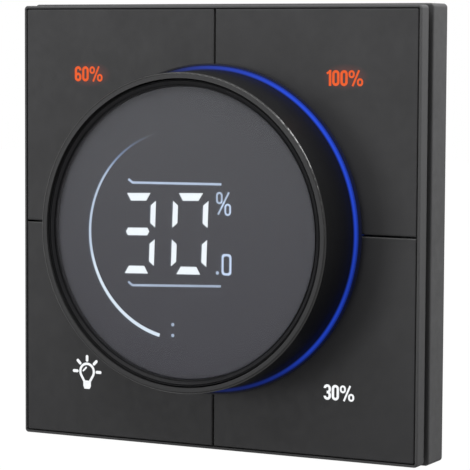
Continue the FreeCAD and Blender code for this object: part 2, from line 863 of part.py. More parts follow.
def make_surround():
    """Thin wall around the keys, on a ledge that runs out over the frame's edge."""
    wall = square_block(surround_half, surround_corner_r, surround_rear_d, face_d)
    front = [e for e in wall.Edges if all(abs(v.Y + face_d) < 1e-6 for v in e.Vertexes)]
    wall = wall.makeFillet(surround_edge_r, front)
    rim_in = carrier_half - carrier_rim
    wall = wall.cut(square_block(rim_in, frame_corner_r / 2, surround_rear_d, rim_top_d))
    return wall.cut(square_block(surround_in, surround_corner_r - surround_wall, rim_top_d, face_d))


def make_carrier_plate():
    """Base of the front module: a tray with the knob's bearing in its middle."""
    outer = square_block(carrier_half, frame_corner_r, carrier_back_d, rim_top_d)
    inner = square_block(carrier_half - carrier_rim, frame_corner_r / 2, carrier_front_d, rim_top_d)
    plate = outer.cut(inner)
    boss = disc(boss_r, carrier_front_d, boss_top_d)
    sleeve = disc(sleeve_r, carrier_front_d, display_floor_d)
    grips = [spring_grip(side) for side in (-1, 1)]
    plate = fuse_all([plate, boss, sleeve, make_surround()] + grips + snap_tongues())
    tools = [disc(sleeve_bore, carrier_front_d, display_floor_d),
             disc(post_bore_r - post_skin, carrier_back_d, carrier_front_d)]
    for x, z in post_screw_places():
        tools.append(disc(post_screw_r + press_clearance, carrier_back_d, carrier_front_d, x, z))
    for sx, sz in corners(1, 1):
        for place in leg_places(sx, sz):
            tools.append(leg_box(place, leg_clearance, hook_reach, carrier_back_d, carrier_front_d))
    tools.append(centred_block(0, header_z, socket_length + window_clearance,
                               socket_width + window_clearance, carrier_back_d, carrier_front_d))
    tools.append(centred_block(0, plug_z, cable_plug_length + window_clearance,
                               cable_plug_width + window_clearance, carrier_back_d, carrier_front_d))
    return cut_all(plate, tools)


def spring_depths():
    """The detent spring stands in line with the middle of the notched ring."""
    middle_d = (detent_rear_d + detent_front_d) / 2
    return middle_d - spring_width / 2, middle_d + spring_width / 2


def spring_grip(side):
    """Post that holds one end of the detent spring in a slot."""
    d0, d1 = spring_depths()
    near = side * (spring_length / 2 - grip_wall)
    end = side * spring_length / 2
    far = side * (spring_length / 2 + grip_wall)
    x0, x1 = sorted((near, far))
    slot_x0, slot_x1 = sorted((near, end))
    post = block(x0, x1, carrier_front_d, d1, grip_low_z, spring_z + grip_wall)
    return post.cut(block(slot_x0, slot_x1, d0, d1, spring_z - spring_thickness, spring_z))


def make_detent_spring():
    """Leaf spring with a rounded nose that stands at the knob's notches."""
    d0, d1 = spring_depths()
    leaf = block(-spring_length / 2, spring_length / 2, d0, d1, spring_z - spring_thickness, spring_z)
    nose = disc(spring_nose_r, d0, d1, 0, spring_z - spring_nose_r / 2)
    below = block(-spring_nose_r, spring_nose_r, d0, d1, spring_z - 2 * spring_nose_r,
                  spring_z - spring_thickness)
    return fuse_all([leaf, nose.cut(below)])


def make_control_board():
    """Square board on the carrier, with holes for the legs, boss and grips."""
    board = square_block(board_half, frame_corner_r / 2, carrier_front_d, board_front_d)
    tools = [disc(board_hole_r, carrier_front_d, board_front_d)]
    for side in (-1, 1):
        x0, x1 = sorted((side * (spring_length / 2 - grip_wall - board_gap),
                         side * (spring_length / 2 + grip_wall + board_gap)))
        tools.append(block(x0, x1, carrier_front_d, board_front_d,
                           grip_low_z - board_gap, spring_z + grip_wall + board_gap))
    for sx, sz in corners(1, 1):
        for place in leg_places(sx, sz):
            tools.append(leg_box(place, 2 * leg_clearance, hook_reach, carrier_front_d, board_front_d))
    return cut_all(board, tools)


def make_radio_module():
    """Small radio board with a screening can, above the knob's bearing."""
    d0 = board_front_d
    base = centred_block(0, radio_z, radio_length, radio_width, d0, d0 + radio_base)
    can = centred_block(-radio_length * 0.1, radio_z, radio_length * 0.7, radio_width * 0.88,
                        d0 + radio_base, d0 + radio_base + radio_can)
    return fuse_all([base, can])


def make_control_chip():
    d0 = board_front_d
    chip = centred_block(chip_x, 0, chip_side, chip_side, d0, d0 + chip_height)
    return chip.cut(disc(chip_side * 0.07, d0 + chip_height * 0.9, d0 + chip_height,
                         chip_x - chip_side * 0.3, chip_side * 0.3))


def make_hall_sensors():
    """Two sensors that read the turning magnet ring."""
    sensors = []
    for angle in sensor_angles:
        a = math.radians(angle)
        sensors.append(centred_block(sensor_r * math.cos(a), sensor_r * math.sin(a),
                                     sensor_side, sensor_side / 2,
                                     board_front_d, board_front_d + sensor_height))
    return Part.Compound(sensors)


def make_ring_leds():
    """Light sources in a circle under the light ring."""
    step = 360.0 / ring_led_count
    leds = []
    for i, (x, z) in enumerate(around(ring_led_r, ring_led_count, step / 2)):
        led = centred_block(0, 0, led_width, led_length, board_front_d, board_front_d + led_height)
        led.rotate(Vector(0, 0, 0), Vector(0, -1, 0), step / 2 + step * i)
        led.translate(Vector(x, 0, z))
        leds.append(led)
    return Part.Compound(leds)


def make_legend_leds():
    """One light source behind the legend of each key."""
    return Part.Compound([centred_block(x, z, led_length, led_width * 2, board_front_d,
                                        board_front_d + led_height)
                          for x, z in corners(legend_x, legend_z)])


# Keys, their switches and their legends

def make_key(sx, sz):
    """One key: a quarter of the front, with a skirt and two hooked legs."""
    half_slit = key_slit / 2
    front = keys_half
    outline = block(half_slit, front, key_rear_d, face_d, half_slit, front)
    corner = [e for e in outline.Edges
              if all(abs(v.X - front) < 1e-6 and abs(v.Z - front) < 1e-6 for v in e.Vertexes)]
    outline = outline.makeFillet(key_corner_r, corner)
    outline = outline.cut(disc(key_hole_r, key_rear_d, face_d))
    rim = [e for e in outline.Edges if all(abs(v.Y + face_d) < 1e-6 for v in e.Vertexes)]
    outline = outline.makeFillet(key_edge_r, rim)
    hollow = block(half_slit + key_skirt, front, key_rear_d, key_back_d,
                   half_slit + key_skirt, front)
    hollow = hollow.cut(disc(key_hole_r + key_skirt, key_rear_d, key_back_d))
    rim_in = carrier_half - carrier_rim - carrier_gap
    rim_room = block(0, front, key_rear_d, key_back_d, 0, front).cut(
        block(0, rim_in, key_rear_d, key_back_d, 0, rim_in))
    well = centred_block(legend_x, legend_z, light_well_x, light_well_z,
                         key_back_d, face_d - legend_depth - light_well_wall)
    key = cut_all(outline, [hollow, rim_room, well])
    hook_top = carrier_back_d - hook_gap
    parts = [key]
    for place in leg_places(1, 1):
        parts.append(leg_box(place, 0, 0, hook_top - hook_height, key_back_d))
        x, z, out_x, out_z = place
        hook = (x + out_x * hook_reach, z + out_z * hook_reach, out_x, out_z)
        parts.append(leg_box(hook, 0, 0, hook_top - hook_height, hook_top))
    key = fuse_all(parts)
    if sx < 0:
        key = key.mirror(Vector(0, 0, 0), Vector(1, 0, 0))
    if sz < 0:
        key = key.mirror(Vector(0, 0, 0), Vector(0, 0, 1))
    return key


def make_switch_body(x, z):
    d0 = board_front_d
    body = centred_block(x, z, switch_side, switch_side, d0, d0 + switch_height)
    bore = disc(stem_r + stem_clearance, d0 + switch_base, d0 + switch_height, x, z)
    return body.cut(bore)


def make_switch_stem(x, z):
    top_of_body = board_front_d + switch_height
    return disc(stem_r, top_of_body - stem_hold, key_back_d, x, z)


def figure_one(x, z, h, w, s, d0, d1):
    bar = centred_block(x + w / 2 - s / 2, z, s, h, d0, d1)
    flag = stroke((x + w / 2 - s * 0.3, z + h / 2 - s * 0.4), (x - w * 0.3, z + h * 0.28), s * 0.8, d0, d1)
    return fuse_all([bar, flag])


def figure_zero(x, z, h, w, s, d0, d1):
    return oval(x, z, w, h, s, d0, d1)


def figure_six(x, z, h, w, s, d0, d1):
    """The upper left of a 0 with a closed bowl below."""
    bowl_h = h * 0.58
    bowl = oval(x, z - h / 2 + bowl_h / 2, w, bowl_h, s, d0, d1)
    back = oval(x, z, w, h, s, d0, d1)
    opening = block(x, x + w, d0, d1, z - h * 0.2, z + h * 0.22)
    return fuse_all([bowl, back.cut(opening)])


def figure_three(x, z, h, w, s, d0, d1):
    """Two bowls that share their middle bar, open at the left."""
    bowl_h = (h + s) / 2
    bowls = fuse_all([oval(x, z + side * (h - bowl_h) / 2, w, bowl_h, s, d0, d1) for side in (-1, 1)])
    opening = block(x - w, x - w * 0.08, d0, d1, z - h * 0.25, z + h * 0.25)
    return bowls.cut(opening)


def figure_percent(x, z, h, w, s, d0, d1):
    ring_w, ring_h = w * 0.42, h * 0.5
    left = oval(x - w / 2 + ring_w / 2, z + h / 2 - ring_h / 2, ring_w, ring_h, s * 0.75, d0, d1)
    right = oval(x + w / 2 - ring_w / 2, z - h / 2 + ring_h / 2, ring_w, ring_h, s * 0.75, d0, d1)
    slash = stroke((x - w * 0.22, z - h / 2), (x + w * 0.22, z + h / 2), s * 0.75, d0, d1)
    return [left, slash, right]


figures = {"1": figure_one, "0": figure_zero, "6": figure_six, "3": figure_three}


def legend_number(text, x, z, d0, d1):
    """A number and a percent sign, as separate figures about x, z."""
    h, s = legend_height, legend_stroke
    widths = {"1": figure_one_width, "%": figure_percent_width}
    all_text = text + "%"
    total = sum(widths.get(c, figure_width) for c in all_text) + figure_gap * (len(all_text) - 1)
    left = x - total / 2
    shapes = []
    for c in all_text:
        w = widths.get(c, figure_width)
        middle = left + w / 2
        if c == "%":
            shapes += figure_percent(middle, z, h, w, s, d0, d1)
        else:
            shapes.append(figures[c](middle, z, h, w, s, d0, d1))
        left += w + figure_gap
    return shapes


def lamp_glass(x, z, r, neck_x, neck_z, d0, d1):
    """A round bulb whose sides run down to its neck."""
    shoulder_x, shoulder_z = r * math.cos(math.radians(30)), -r * math.sin(math.radians(30))
    outline = [(-shoulder_x, shoulder_z), (shoulder_x, shoulder_z), (neck_x, neck_z), (-neck_x, neck_z)]
    neck = plate_from([(x + px, z + pz) for px, pz in outline], d0, d1)
    return fuse_all([disc(r, d0, d1, x, z), neck])


def legend_bulb(x, z, d0, d1):
    """A lamp sign: round bulb, its cap and five short rays."""
    s, r = legend_stroke, lamp_r
    cap_x, tip_x = lamp_cap_width / 2, lamp_tip_width / 2
    neck_z, tip_z = -lamp_neck, -lamp_neck - lamp_cap_height
    outer = lamp_glass(x, z, r, cap_x, neck_z, d0, d1)
    inner = lamp_glass(x, z, r - s, cap_x - s * 0.9, neck_z + s * 0.5, d0, d1)
    outline = [(-cap_x, neck_z), (cap_x, neck_z), (cap_x, tip_z + lamp_tip_height), (tip_x, tip_z),
               (-tip_x, tip_z), (-cap_x, tip_z + lamp_tip_height)]
    cap = plate_from([(x + px, z + pz) for px, pz in outline], d0, d1)
    glint = round_stroke((x - r * 0.55, z), (x - r * 0.05, z + r * 0.5), lamp_glint, d0, d1)
    shapes = [fuse_all([outer, cap]).cut(inner), glint]
    for angle in (0, 45, 90, 135, 180):
        a = math.radians(angle)
        shapes.append(round_stroke((x + math.cos(a) * lamp_ray_in, z + math.sin(a) * lamp_ray_in),
                                   (x + math.cos(a) * lamp_ray_out, z + math.sin(a) * lamp_ray_out),
                                   lamp_ray_width, d0, d1))
    return shapes


def legend_shapes(name):
    """The figures of one key, flush with its face."""
    d0, d1 = face_d - legend_depth, face_d
    shift_x, shift_z = legend_shift[name]
    x = (-legend_x if name.endswith("left") else legend_x) + shift_x
    z = (-legend_z if name.startswith("bottom") else legend_z) + shift_z
    if name == "bottom_left":
        return legend_bulb(x, z, d0, d1)
    number = {"top_left": "60", "top_right": "100", "bottom_right": "30"}[name]
    return legend_number(number, x, z, d0, d1)


# Light ring

def make_ring_collar():
    """Black foot and cup that carry the light ring over the keys."""
    foot_d = ring_flange_d - collar_floor
    lip_in = ring_r + collar_gap
    lip_r = lip_in + collar_lip
    lip_d = ring_top_d - collar_floor / 2
    return turned([(collar_in, board_front_d), (collar_r, board_front_d), (collar_r, foot_d),
                   (lip_r, foot_d), (lip_r, lip_d), (lip_in, lip_d),
                   (lip_in, ring_flange_d), (collar_in, ring_flange_d)])


def make_light_ring():
    """Clear ring: a tube over the light sources and a flange that glows."""
    rear_d = board_front_d + led_height + leg_clearance
    return turned([(ring_tube_in, rear_d), (ring_tube_r, rear_d), (ring_tube_r, ring_flange_d),
                   (ring_r, ring_flange_d), (ring_r, ring_top_d), (ring_tube_in, ring_top_d)])


# Knob

def make_knob():
    """Turning ring: side wall, web, hub and the inner tube for the magnet."""
    skirt_in = knob_rear_r - knob_base_wall
    shell = turned([(skirt_in, knob_rear_d), (knob_rear_r, knob_rear_d),
                    (knob_front_r, knob_front_d), (knob_mouth_r, knob_front_d),
                    (knob_mouth_r, web_front_d), (skirt_in, web_front_d)])
    outer_edge = [e for e in shell.Edges if e.Curve.TypeId == "Part::GeomCircle"
                  and abs(e.Curve.Radius - knob_front_r) < 1e-6]
    shell = shell.makeFillet(knob_edge_r, outer_edge)
    web = tube(hub_in, skirt_in + knob_base_wall / 2, web_rear_d, web_front_d)
    hub = tube(hub_in, hub_r, hub_rear_d, web_front_d)
    inner = tube(inner_tube_r - inner_tube_wall, inner_tube_r, magnet_rear_d, web_front_d)
    holes = [disc(web_hole_r, web_rear_d, web_front_d, x, z)
             for x, z in around(web_hole_offset, web_hole_count)]
    return cut_all(fuse_all([shell, web, hub, inner]), holes)


def make_magnet_ring():
    return tube(magnet_in, magnet_out, magnet_rear_d, magnet_rear_d + magnet_height)


def make_detent_ring():
    """Notched ring on the knob's hub, which gives the clicks."""
    ring = tube(detent_in, detent_out, detent_rear_d, detent_front_d)
    notches = [disc(detent_notch_r, detent_rear_d, detent_front_d, x, z)
               for x, z in around(detent_out, detent_teeth, 180.0 / detent_teeth)]
    return cut_all(ring, notches)


def make_slide_washer():
    return tube(sleeve_r + collar_gap, sleeve_r + washer_wall, boss_top_d, washer_top_d)


# Display

def post_screw_places():
    return around(post_bore_r + post_wall / 2, 3, 90)


def make_display_housing():
    """Fixed cup inside the knob, on a hollow post through the bearing."""
    step_r = bezel_in - glass_gap * 2
    cup = turned([(0, display_floor_d), (bezel_r, display_floor_d), (bezel_r, bezel_seat_d),
                  (step_r, bezel_seat_d), (step_r, mask_back_d), (display_in, mask_back_d),
                  (display_in, display_board_d), (0, display_board_d)])
    post = disc(post_out, carrier_front_d, display_floor_d)
    housing = fuse_all([cup, post])
    tools = [disc(post_bore_r, carrier_front_d, display_board_d)]
    for x, z in post_screw_places():
        tools.append(disc(post_screw_r + press_clearance, carrier_front_d,
                          carrier_front_d + post_screw_length, x, z))
    return cut_all(housing, tools)


def make_post_screws():
    """Three screws from behind that hold the display's post to the carrier."""
    screws = []
    length = post_screw_length + carrier_thickness - screw_clearance
    for x, z in post_screw_places():
        head = disc(post_screw_head_r, carrier_back_d - post_screw_head, carrier_back_d, x, z)
        shank = disc(post_screw_r, carrier_back_d, carrier_back_d + length, x, z)
        screws.append(cross_slotted(fuse_all([head, shank]), x, z,
                                    carrier_back_d - post_screw_head, post_screw_head_r, -1))
    return Part.Compound(screws)


def make_display_board():
    return disc(display_in - board_gap, display_board_d, segment_block_d)


def make_segment_block():
    """White reflector block, with a light well behind each figure."""
    body = disc(display_in - board_gap, segment_block_d, segment_back_d)
    wells = []
    for x in (left_digit_x, right_digit_x):
        wells += digit_bars(x, "8", segment_block_d + light_shaft_floor,
                           segment_back_d - light_shaft_skin)
    return cut_all(body, wells)


def make_display_mask():
    """Dark film behind the glass, open where the figures shine through."""
    film = disc(bezel_in - glass_gap * 2, mask_back_d, mask_front_d)
    return cut_all(film, figure_shapes(mask_back_d, mask_front_d))


def make_display_segments():
    """The lit figures, as clear pieces between the block and the glass."""
    return Part.Compound(figure_shapes(segment_back_d, mask_front_d))


def digit_bars(x, digit, d0, d1):
    """The bars of a leaning, tilted seven-bar figure, each shorter along its inner edge."""
    lit = {"3": "abcdg", "0": "abcdef", "8": "abcdefg"}[digit]
    hx, hz, half, end = digit_width / 2, digit_height / 2, bar_length / 2, bar_end
    low, high, inner_x, inner_z = bar_middle - half, bar_middle + half, hx - bar_upright, hz - bar_across
    outlines = {
        "a": [(-half, hz), (half, hz), (half - end, inner_z), (-half + end, inner_z)],
        "b": [(hx, high), (hx, low), (inner_x, low + end), (inner_x, high - end)],
        "g": [(side * (half - inset), middle_bar_rise + up * bar_across / 2) for side, inset, up in
              ((-1, 0, 0), (-1, end / 2, 1), (1, end / 2, 1), (1, 0, 0), (1, end / 2, -1),
               (-1, end / 2, -1))],
    }
    for name, twin in (("a", "d"), ("b", "c")):
        outlines[twin] = [(px, -pz) for px, pz in outlines[name]]
    for name, twin in (("b", "f"), ("c", "e")):
        outlines[twin] = [(-px, pz) for px, pz in outlines[name]]
    return [plate_from([(x + px + digit_lean * pz, digit_centre_z + pz + digit_tilt * (x + px))
                        for px, pz in outlines[name]], d0, d1) for name in lit]


def rule_shape(middle_z, tilt, d0, d1):
    """Thin line above or below the figures, with a short slanted tick."""
    s = rule_stroke
    left_z, right_z = middle_z + tilt * rule_left, middle_z + tilt * rule_right
    line = plate_from([(rule_left, left_z - s / 2), (rule_right, right_z - s / 2),
                       (rule_right, right_z + s / 2), (rule_left, left_z + s / 2)], d0, d1)
    tick = stroke((rule_left - rule_tick, left_z + rule_tick * 0.7),
                  (rule_left + s / 4, left_z - s / 6), s, d0, d1)
    return fuse_all([line, tick])


def arc_shape(d0, d1):
    """Level arc at the left, thin at its top and thick at its lower end."""
    def point(r, angle):
        a = math.radians(angle)
        return Vector(arc_place[0] + r * math.cos(a), -d0, arc_place[1] + r * math.sin(a))
    middle = (arc_start + arc_end) / 2
    average = (arc_thin + arc_thick) / 2
    outer = Part.Arc(point(arc_r, arc_start), point(arc_r, middle), point(arc_r, arc_end))
    inner = Part.Arc(point(arc_r - arc_thick, arc_end), point(arc_r - average, middle),
                     point(arc_r - arc_thin, arc_start))
    close_a = Part.LineSegment(outer.EndPoint, inner.StartPoint)
    close_b = Part.LineSegment(inner.EndPoint, outer.StartPoint)
    wire = Part.Wire([outer.toShape(), close_a.toShape(), inner.toShape(), close_b.toShape()])
    return Part.Face(wire).extrude(Vector(0, d0 - d1, 0))


def figure_shapes(d0, d1):
    """Everything that the display shows."""
    shapes = digit_bars(left_digit_x, "3", d0, d1) + digit_bars(right_digit_x, "0", d0, d1)
    shapes += [rule_shape(z, tilt, d0, d1) for z, tilt in rule_places]
    shapes.append(arc_shape(d0, d1))
    for x, z in (percent_left, percent_right):
        shapes.append(oval(x, z, *percent_ring, small_stroke, d0, d1))
    shapes.append(stroke(percent_foot, percent_head, small_stroke, d0, d1))
    shapes.append(soft_ring(*tenths_place, *tenths_size, tenths_stroke, tenths_corner, d0, d1))
    shapes.append(disc(dot_r, d0, d1, *point_place))
    shapes += [disc(dot_r, d0, d1, dots_x, z) for z in dots_z]
    return shapes


def make_display_glass():
    return disc(glass_r, mask_front_d, glass_front_d)


def make_display_bezel():
    """Black ring around the glass, with a face that slopes down to it."""
    return turned([(bezel_in, bezel_seat_d), (bezel_r, bezel_seat_d),
                   (bezel_r, glass_front_d + bezel_rise), (bezel_in, glass_front_d)])


def make_display_cable():
    """Flat cable from the display, down the hollow post and to its plug."""
    half, t, r = cable_width / 2, cable_thickness, cable_bend_r
    flat_d = carrier_back_d - cable_drop
    z_in, z_out = 0.0, plug_z
    down = block(-half, half, flat_d + t + r, display_board_d, z_in - t, z_in)
    flat = block(-half, half, flat_d, flat_d + t, z_out + r + t, z_in - r - t)
    up = block(-half, half, flat_d + t + r, carrier_front_d - cable_plug_height, z_out, z_out + t)

    def bend(z_centre, z0, z1):
        axis = Vector(-half, -(flat_d + t + r), z_centre)
        ring = Part.makeCylinder(r + t, 2 * half, axis, Vector(1, 0, 0)).cut(
            Part.makeCylinder(r, 2 * half, axis, Vector(1, 0, 0)))
        quarter = block(-half, half, flat_d, flat_d + t + r, z0, z1)
        return ring.common(quarter)

    first = bend(z_in - t - r, z_in - t - r, z_in)
    second = bend(z_out + t + r, z_out, z_out + t + r)
    return fuse_all([down, first, flat, second, up])


def make_cable_plug():
    """Plug for the display's cable, under the control board."""
    return centred_block(0, plug_z, cable_plug_length, cable_plug_width,
                         carrier_front_d - cable_plug_height, carrier_front_d)


# The whole part

def build_nodes():
    nodes = {
        "outer_frame": make_outer_frame(),
        "rear_housing": make_rear_housing(),
        "housing_screws": make_housing_screws(),
        "terminal_block": make_terminal_block(),
        "terminal_clamps": make_terminal_clamps(),
        "terminal_screws": make_terminal_screws(),
        "power_board": make_power_board(),
        "pin_header": make_pin_header(),
        "header_socket": make_header_socket(),
        "bulk_capacitor": make_bulk_capacitor(),
        "transformer": make_transformer(),
        "film_capacitor": make_film_capacitor(),
        "choke": make_choke(),
        "fuse": make_fuse(),
        "heat_sink": make_heat_sink(),
        "dimmer_transistors": make_dimmer_transistors(),
        "insulating_sheet": make_insulating_sheet(),
        "carrier_plate": make_carrier_plate(),
        "detent_spring": make_detent_spring(),
        "control_board": make_control_board(),
        "radio_module": make_radio_module(),
        "control_chip": make_control_chip(),
        "hall_sensors": make_hall_sensors(),
        "ring_leds": make_ring_leds(),
        "legend_leds": make_legend_leds(),
        "ring_collar": make_ring_collar(),
        "light_ring": make_light_ring(),
        "knob": make_knob(),
        "magnet_ring": make_magnet_ring(),
        "detent_ring": make_detent_ring(),
        "slide_washer": make_slide_washer(),
        "display_housing": make_display_housing(),
        "post_screws": make_post_screws(),
        "display_board": make_display_board(),
        "segment_block": make_segment_block(),
        "display_segments": make_display_segments(),
        "display_mask": make_display_mask(),
        "display_glass": make_display_glass(),
        "display_bezel": make_display_bezel(),
        "display_cable": make_display_cable(),
        "cable_plug": make_cable_plug(),
    }
    sides = {"top_left": (-1, 1), "top_right": (1, 1), "bottom_left": (-1, -1), "bottom_right": (1, -1)}
    for name, (sx, sz) in sides.items():
        legend = legend_shapes(name)
        nodes["key_" + name] = cut_all(make_key(sx, sz), legend)
        nodes["legend_" + name] = Part.Compound(legend)
        nodes["switch_" + name] = make_switch_body(sx * switch_offset, sz * switch_offset)
        nodes["stem_" + name] = make_switch_stem(sx * switch_offset, sz * switch_offset)
    return nodes


os.makedirs("parts", exist_ok=True)
for name, shape in build_nodes().items():
    shape.exportStep("parts/" + name + ".step")
    print(name, len(shape.Solids), "solids", round(shape.Volume, 1), "mm3", shape.isValid())
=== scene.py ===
# %% [markdown]
# # A rotary wall dimmer
#
# This lesson dresses a wall dimmer: a square front of four push keys round a turning knob, with a lit
# display in the knob's middle and a blue ring at its foot. The solids come ready from the frame, at
# their real size. Blender gives them their finish, the light and the camera.
#
# Everything is in metres. +Z is up, the front faces -Y, and the wall's surface is the plane Y = 0.

# %% Load the frame
import bpy
import bmesh
import math
from mathutils import Matrix, Vector


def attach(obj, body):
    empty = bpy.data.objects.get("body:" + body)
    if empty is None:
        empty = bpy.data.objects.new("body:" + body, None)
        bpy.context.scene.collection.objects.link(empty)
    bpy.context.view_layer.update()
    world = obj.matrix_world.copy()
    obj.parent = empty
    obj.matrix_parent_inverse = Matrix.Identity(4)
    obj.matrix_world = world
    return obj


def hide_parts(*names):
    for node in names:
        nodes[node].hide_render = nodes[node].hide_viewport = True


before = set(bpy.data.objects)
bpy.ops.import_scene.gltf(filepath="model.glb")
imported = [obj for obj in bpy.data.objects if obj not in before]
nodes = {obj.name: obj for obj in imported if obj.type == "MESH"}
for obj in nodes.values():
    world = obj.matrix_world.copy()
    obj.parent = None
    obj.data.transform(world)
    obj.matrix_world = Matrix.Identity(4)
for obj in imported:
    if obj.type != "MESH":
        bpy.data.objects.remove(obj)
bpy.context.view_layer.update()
mm = 0.001

# %% [markdown]
# ## The camera
#
# The picture to match was taken a little from the right and from above with a long lens, which keeps
# the knob's circle nearly round. The lens and the place were worked out from the edges of the square
# front. The camera is turned by three directions, its right, its up and the way it looks back, because
# that is exactly what such a fit gives.

# %% Place the camera
camera_place = Vector((206.88, -405.37, 34.67)) * mm
camera_right = Vector((0.88950, 0.45691, 0.00511))
camera_up = Vector((-0.04118, 0.06902, 0.99676))
camera_back = camera_right.cross(camera_up)

camera_data = bpy.data.cameras.new("photo_camera")
camera_data.lens = 178.6
camera_data.sensor_width = 36.0
camera_data.clip_start = 0.01
camera = bpy.data.objects.new("photo_camera", camera_data)
turn = Matrix((camera_right, camera_up, camera_back)).transposed()
camera.matrix_world = Matrix.Translation(camera_place) @ turn.to_4x4()
bpy.context.scene.collection.objects.link(camera)
bpy.context.scene.camera = camera
print("camera at", tuple(round(v, 3) for v in camera_place))

# %% [markdown]
# ## Materials from nodes
#
# A real moulding is never one flat colour. Its tool is blasted, so the surface has a fine grain that
# breaks up the light, and its shade drifts a little from place to place. Both can come from noise in
# the object's own coordinates, which needs no picture and no unwrapping, and stays put when a piece
# turns. The first helpers start a material, make noise and mix.

# %% Helpers that start a material
def start_material(name, colour=(0.8, 0.8, 0.8), rough=0.5, specular=0.5):
    """A new plain material with its node tree, its shader and its object coordinates."""
    material = bpy.data.materials.new(name)
    material.use_nodes = True
    tree = material.node_tree
    shader = tree.nodes["Principled BSDF"]
    shader.inputs["Base Color"].default_value = (*colour, 1.0)
    shader.inputs["Roughness"].default_value = rough
    shader.inputs["Specular IOR Level"].default_value = specular
    place = tree.nodes.new("ShaderNodeTexCoord").outputs["Object"]
    return material, tree, shader, place


def reopen(material):
    """The node tree, the shader and the object coordinates of a material made before."""
    tree = material.node_tree
    place = next(node for node in tree.nodes if node.type == "TEX_COORD").outputs["Object"]
    return tree, tree.nodes["Principled BSDF"], place


def noise(tree, place, size):
    """Noise whose blotches measure about the given size in metres."""
    node = tree.nodes.new("ShaderNodeTexNoise")
    node.inputs["Scale"].default_value = 1.0 / size
    node.inputs["Detail"].default_value = 3.0
    tree.links.new(place, node.inputs["Vector"])
    return node.outputs["Fac"]


def fade(tree, value, start, end, low=0.0, high=1.0):
    """From low at start to high at end, and flat beyond both."""
    node = tree.nodes.new("ShaderNodeMapRange")
    node.inputs["From Min"].default_value = start
    node.inputs["From Max"].default_value = end
    node.inputs["To Min"].default_value = low
    node.inputs["To Max"].default_value = high
    tree.links.new(value, node.inputs["Value"])
    return node.outputs["Result"]


def spread(tree, value, low, high):
    """Spreads noise, whose values lie mostly between 0.3 and 0.7, between two numbers."""
    return fade(tree, value, 0.3, 0.7, low, high)


def shade(tree, share, first, second):
    """A colour between two, each of them a plain colour or a node's output."""
    node = tree.nodes.new("ShaderNodeMix")
    node.data_type = "RGBA"
    tree.links.new(share, node.inputs["Factor"])
    for socket, colour in (("A", first), ("B", second)):
        if isinstance(colour, (tuple, list)):
            node.inputs[socket].default_value = (*colour, 1.0)
        else:
            tree.links.new(colour, node.inputs[socket])
    return node.outputs["Result"]


def mix_shaders(tree, share, first, second):
    """One surface between two others, by a number or a node's output."""
    node = tree.nodes.new("ShaderNodeMixShader")
    if isinstance(share, float):
        node.inputs["Fac"].default_value = share
    else:
        tree.links.new(share, node.inputs["Fac"])
    tree.links.new(first, node.inputs[1])
    tree.links.new(second, node.inputs[2])
    return node.outputs["Shader"]


def show(tree, surface):
    """Makes this surface the one that the material shows."""
    tree.links.new(surface, tree.nodes["Material Output"].inputs["Surface"])


print("helpers for materials ready")

# %% [markdown]
# ## Arithmetic on a place
#
# Several finishes depend on where a point lies: how far in front of the wall, how far from the knob's
# axis, at what angle round it. Painting that on an unwrapped picture would tie it to one resolution.
# A few nodes of arithmetic on the coordinates stay sharp at any distance.

# %% Helpers for arithmetic in nodes
def calc(tree, operation, *values):
    """One step of arithmetic on numbers and node outputs."""
    node = tree.nodes.new("ShaderNodeMath")
    node.operation = operation
    for socket, value in zip(node.inputs, values):
        if isinstance(value, (int, float)):
            socket.default_value = value
        else:
            tree.links.new(value, socket)
    return node.outputs["Value"]


def times(tree, first, second):
    """Two numbers multiplied, which also joins two conditions of 0 or 1."""
    return calc(tree, "MULTIPLY", first, second)


def choose(tree, share, first, second):
    """The first number where share is 1 and the second where it is 0."""
    return calc(tree, "ADD", times(tree, share, first),
                times(tree, calc(tree, "SUBTRACT", 1.0, share), second))


def axes(tree, place):
    """The x, y and z of a place."""
    node = tree.nodes.new("ShaderNodeSeparateXYZ")
    tree.links.new(place, node.inputs["Vector"])
    return node.outputs["X"], node.outputs["Y"], node.outputs["Z"]


def length(tree, across, up):
    """The length of a line with the given reach across and up."""
    return calc(tree, "SQRT", calc(tree, "ADD", times(tree, across, across), times(tree, up, up)))


def distance(tree, place, x=0.0, z=0.0):
    """The distance from an axis that runs along the depth through x, z."""
    across, _, up = axes(tree, place)
    return length(tree, calc(tree, "SUBTRACT", across, x), calc(tree, "SUBTRACT", up, z))


def angle(tree, place, x=0.0, z=0.0, mirror=1.0):
    """The angle round such an axis in degrees, from +X, or from -X where mirror is -1."""
    across, _, up = axes(tree, place)
    across = times(tree, calc(tree, "SUBTRACT", across, x), mirror)
    turn = calc(tree, "ARCTAN2", calc(tree, "SUBTRACT", up, z), across)
    return times(tree, turn, math.degrees(1.0))


def curve(tree, value, start, end, points):
    """A curve through (value, height) points between start and end, heights from 0 to 1."""
    node = tree.nodes.new("ShaderNodeValToRGB")
    tree.links.new(fade(tree, value, start, end), node.inputs["Fac"])
    stops = node.color_ramp.elements
    places = [((at - start) / (end - start), height) for at, height in points]
    stops[0].position, stops[-1].position = places[0][0], places[-1][0]
    for place, _ in places[1:-1]:
        stops.new(place)
    for stop, (_, height) in zip(stops, places):
        stop.color = (height, height, height, 1.0)
    return node.outputs["Color"]


print("helpers for arithmetic ready")

# %% [markdown]
# ## A moulded surface
#
# One function makes every plain finish, of plastic or metal, so each of them is a single line further
# down: its colour drifts by a few parts in a hundred, its gloss is uneven and its grain is a bump of a
# real size and height.

# %% The function for plain finishes
def bump(tree, shader, level, height):
    """Raises the surface by a height in metres where the level is 1."""
    node = tree.nodes.new("ShaderNodeBump")
    node.inputs["Distance"].default_value = height
    node.inputs["Strength"].default_value = 1.0
    tree.links.new(level, node.inputs["Height"])
    tree.links.new(node.outputs["Normal"], shader.inputs["Normal"])


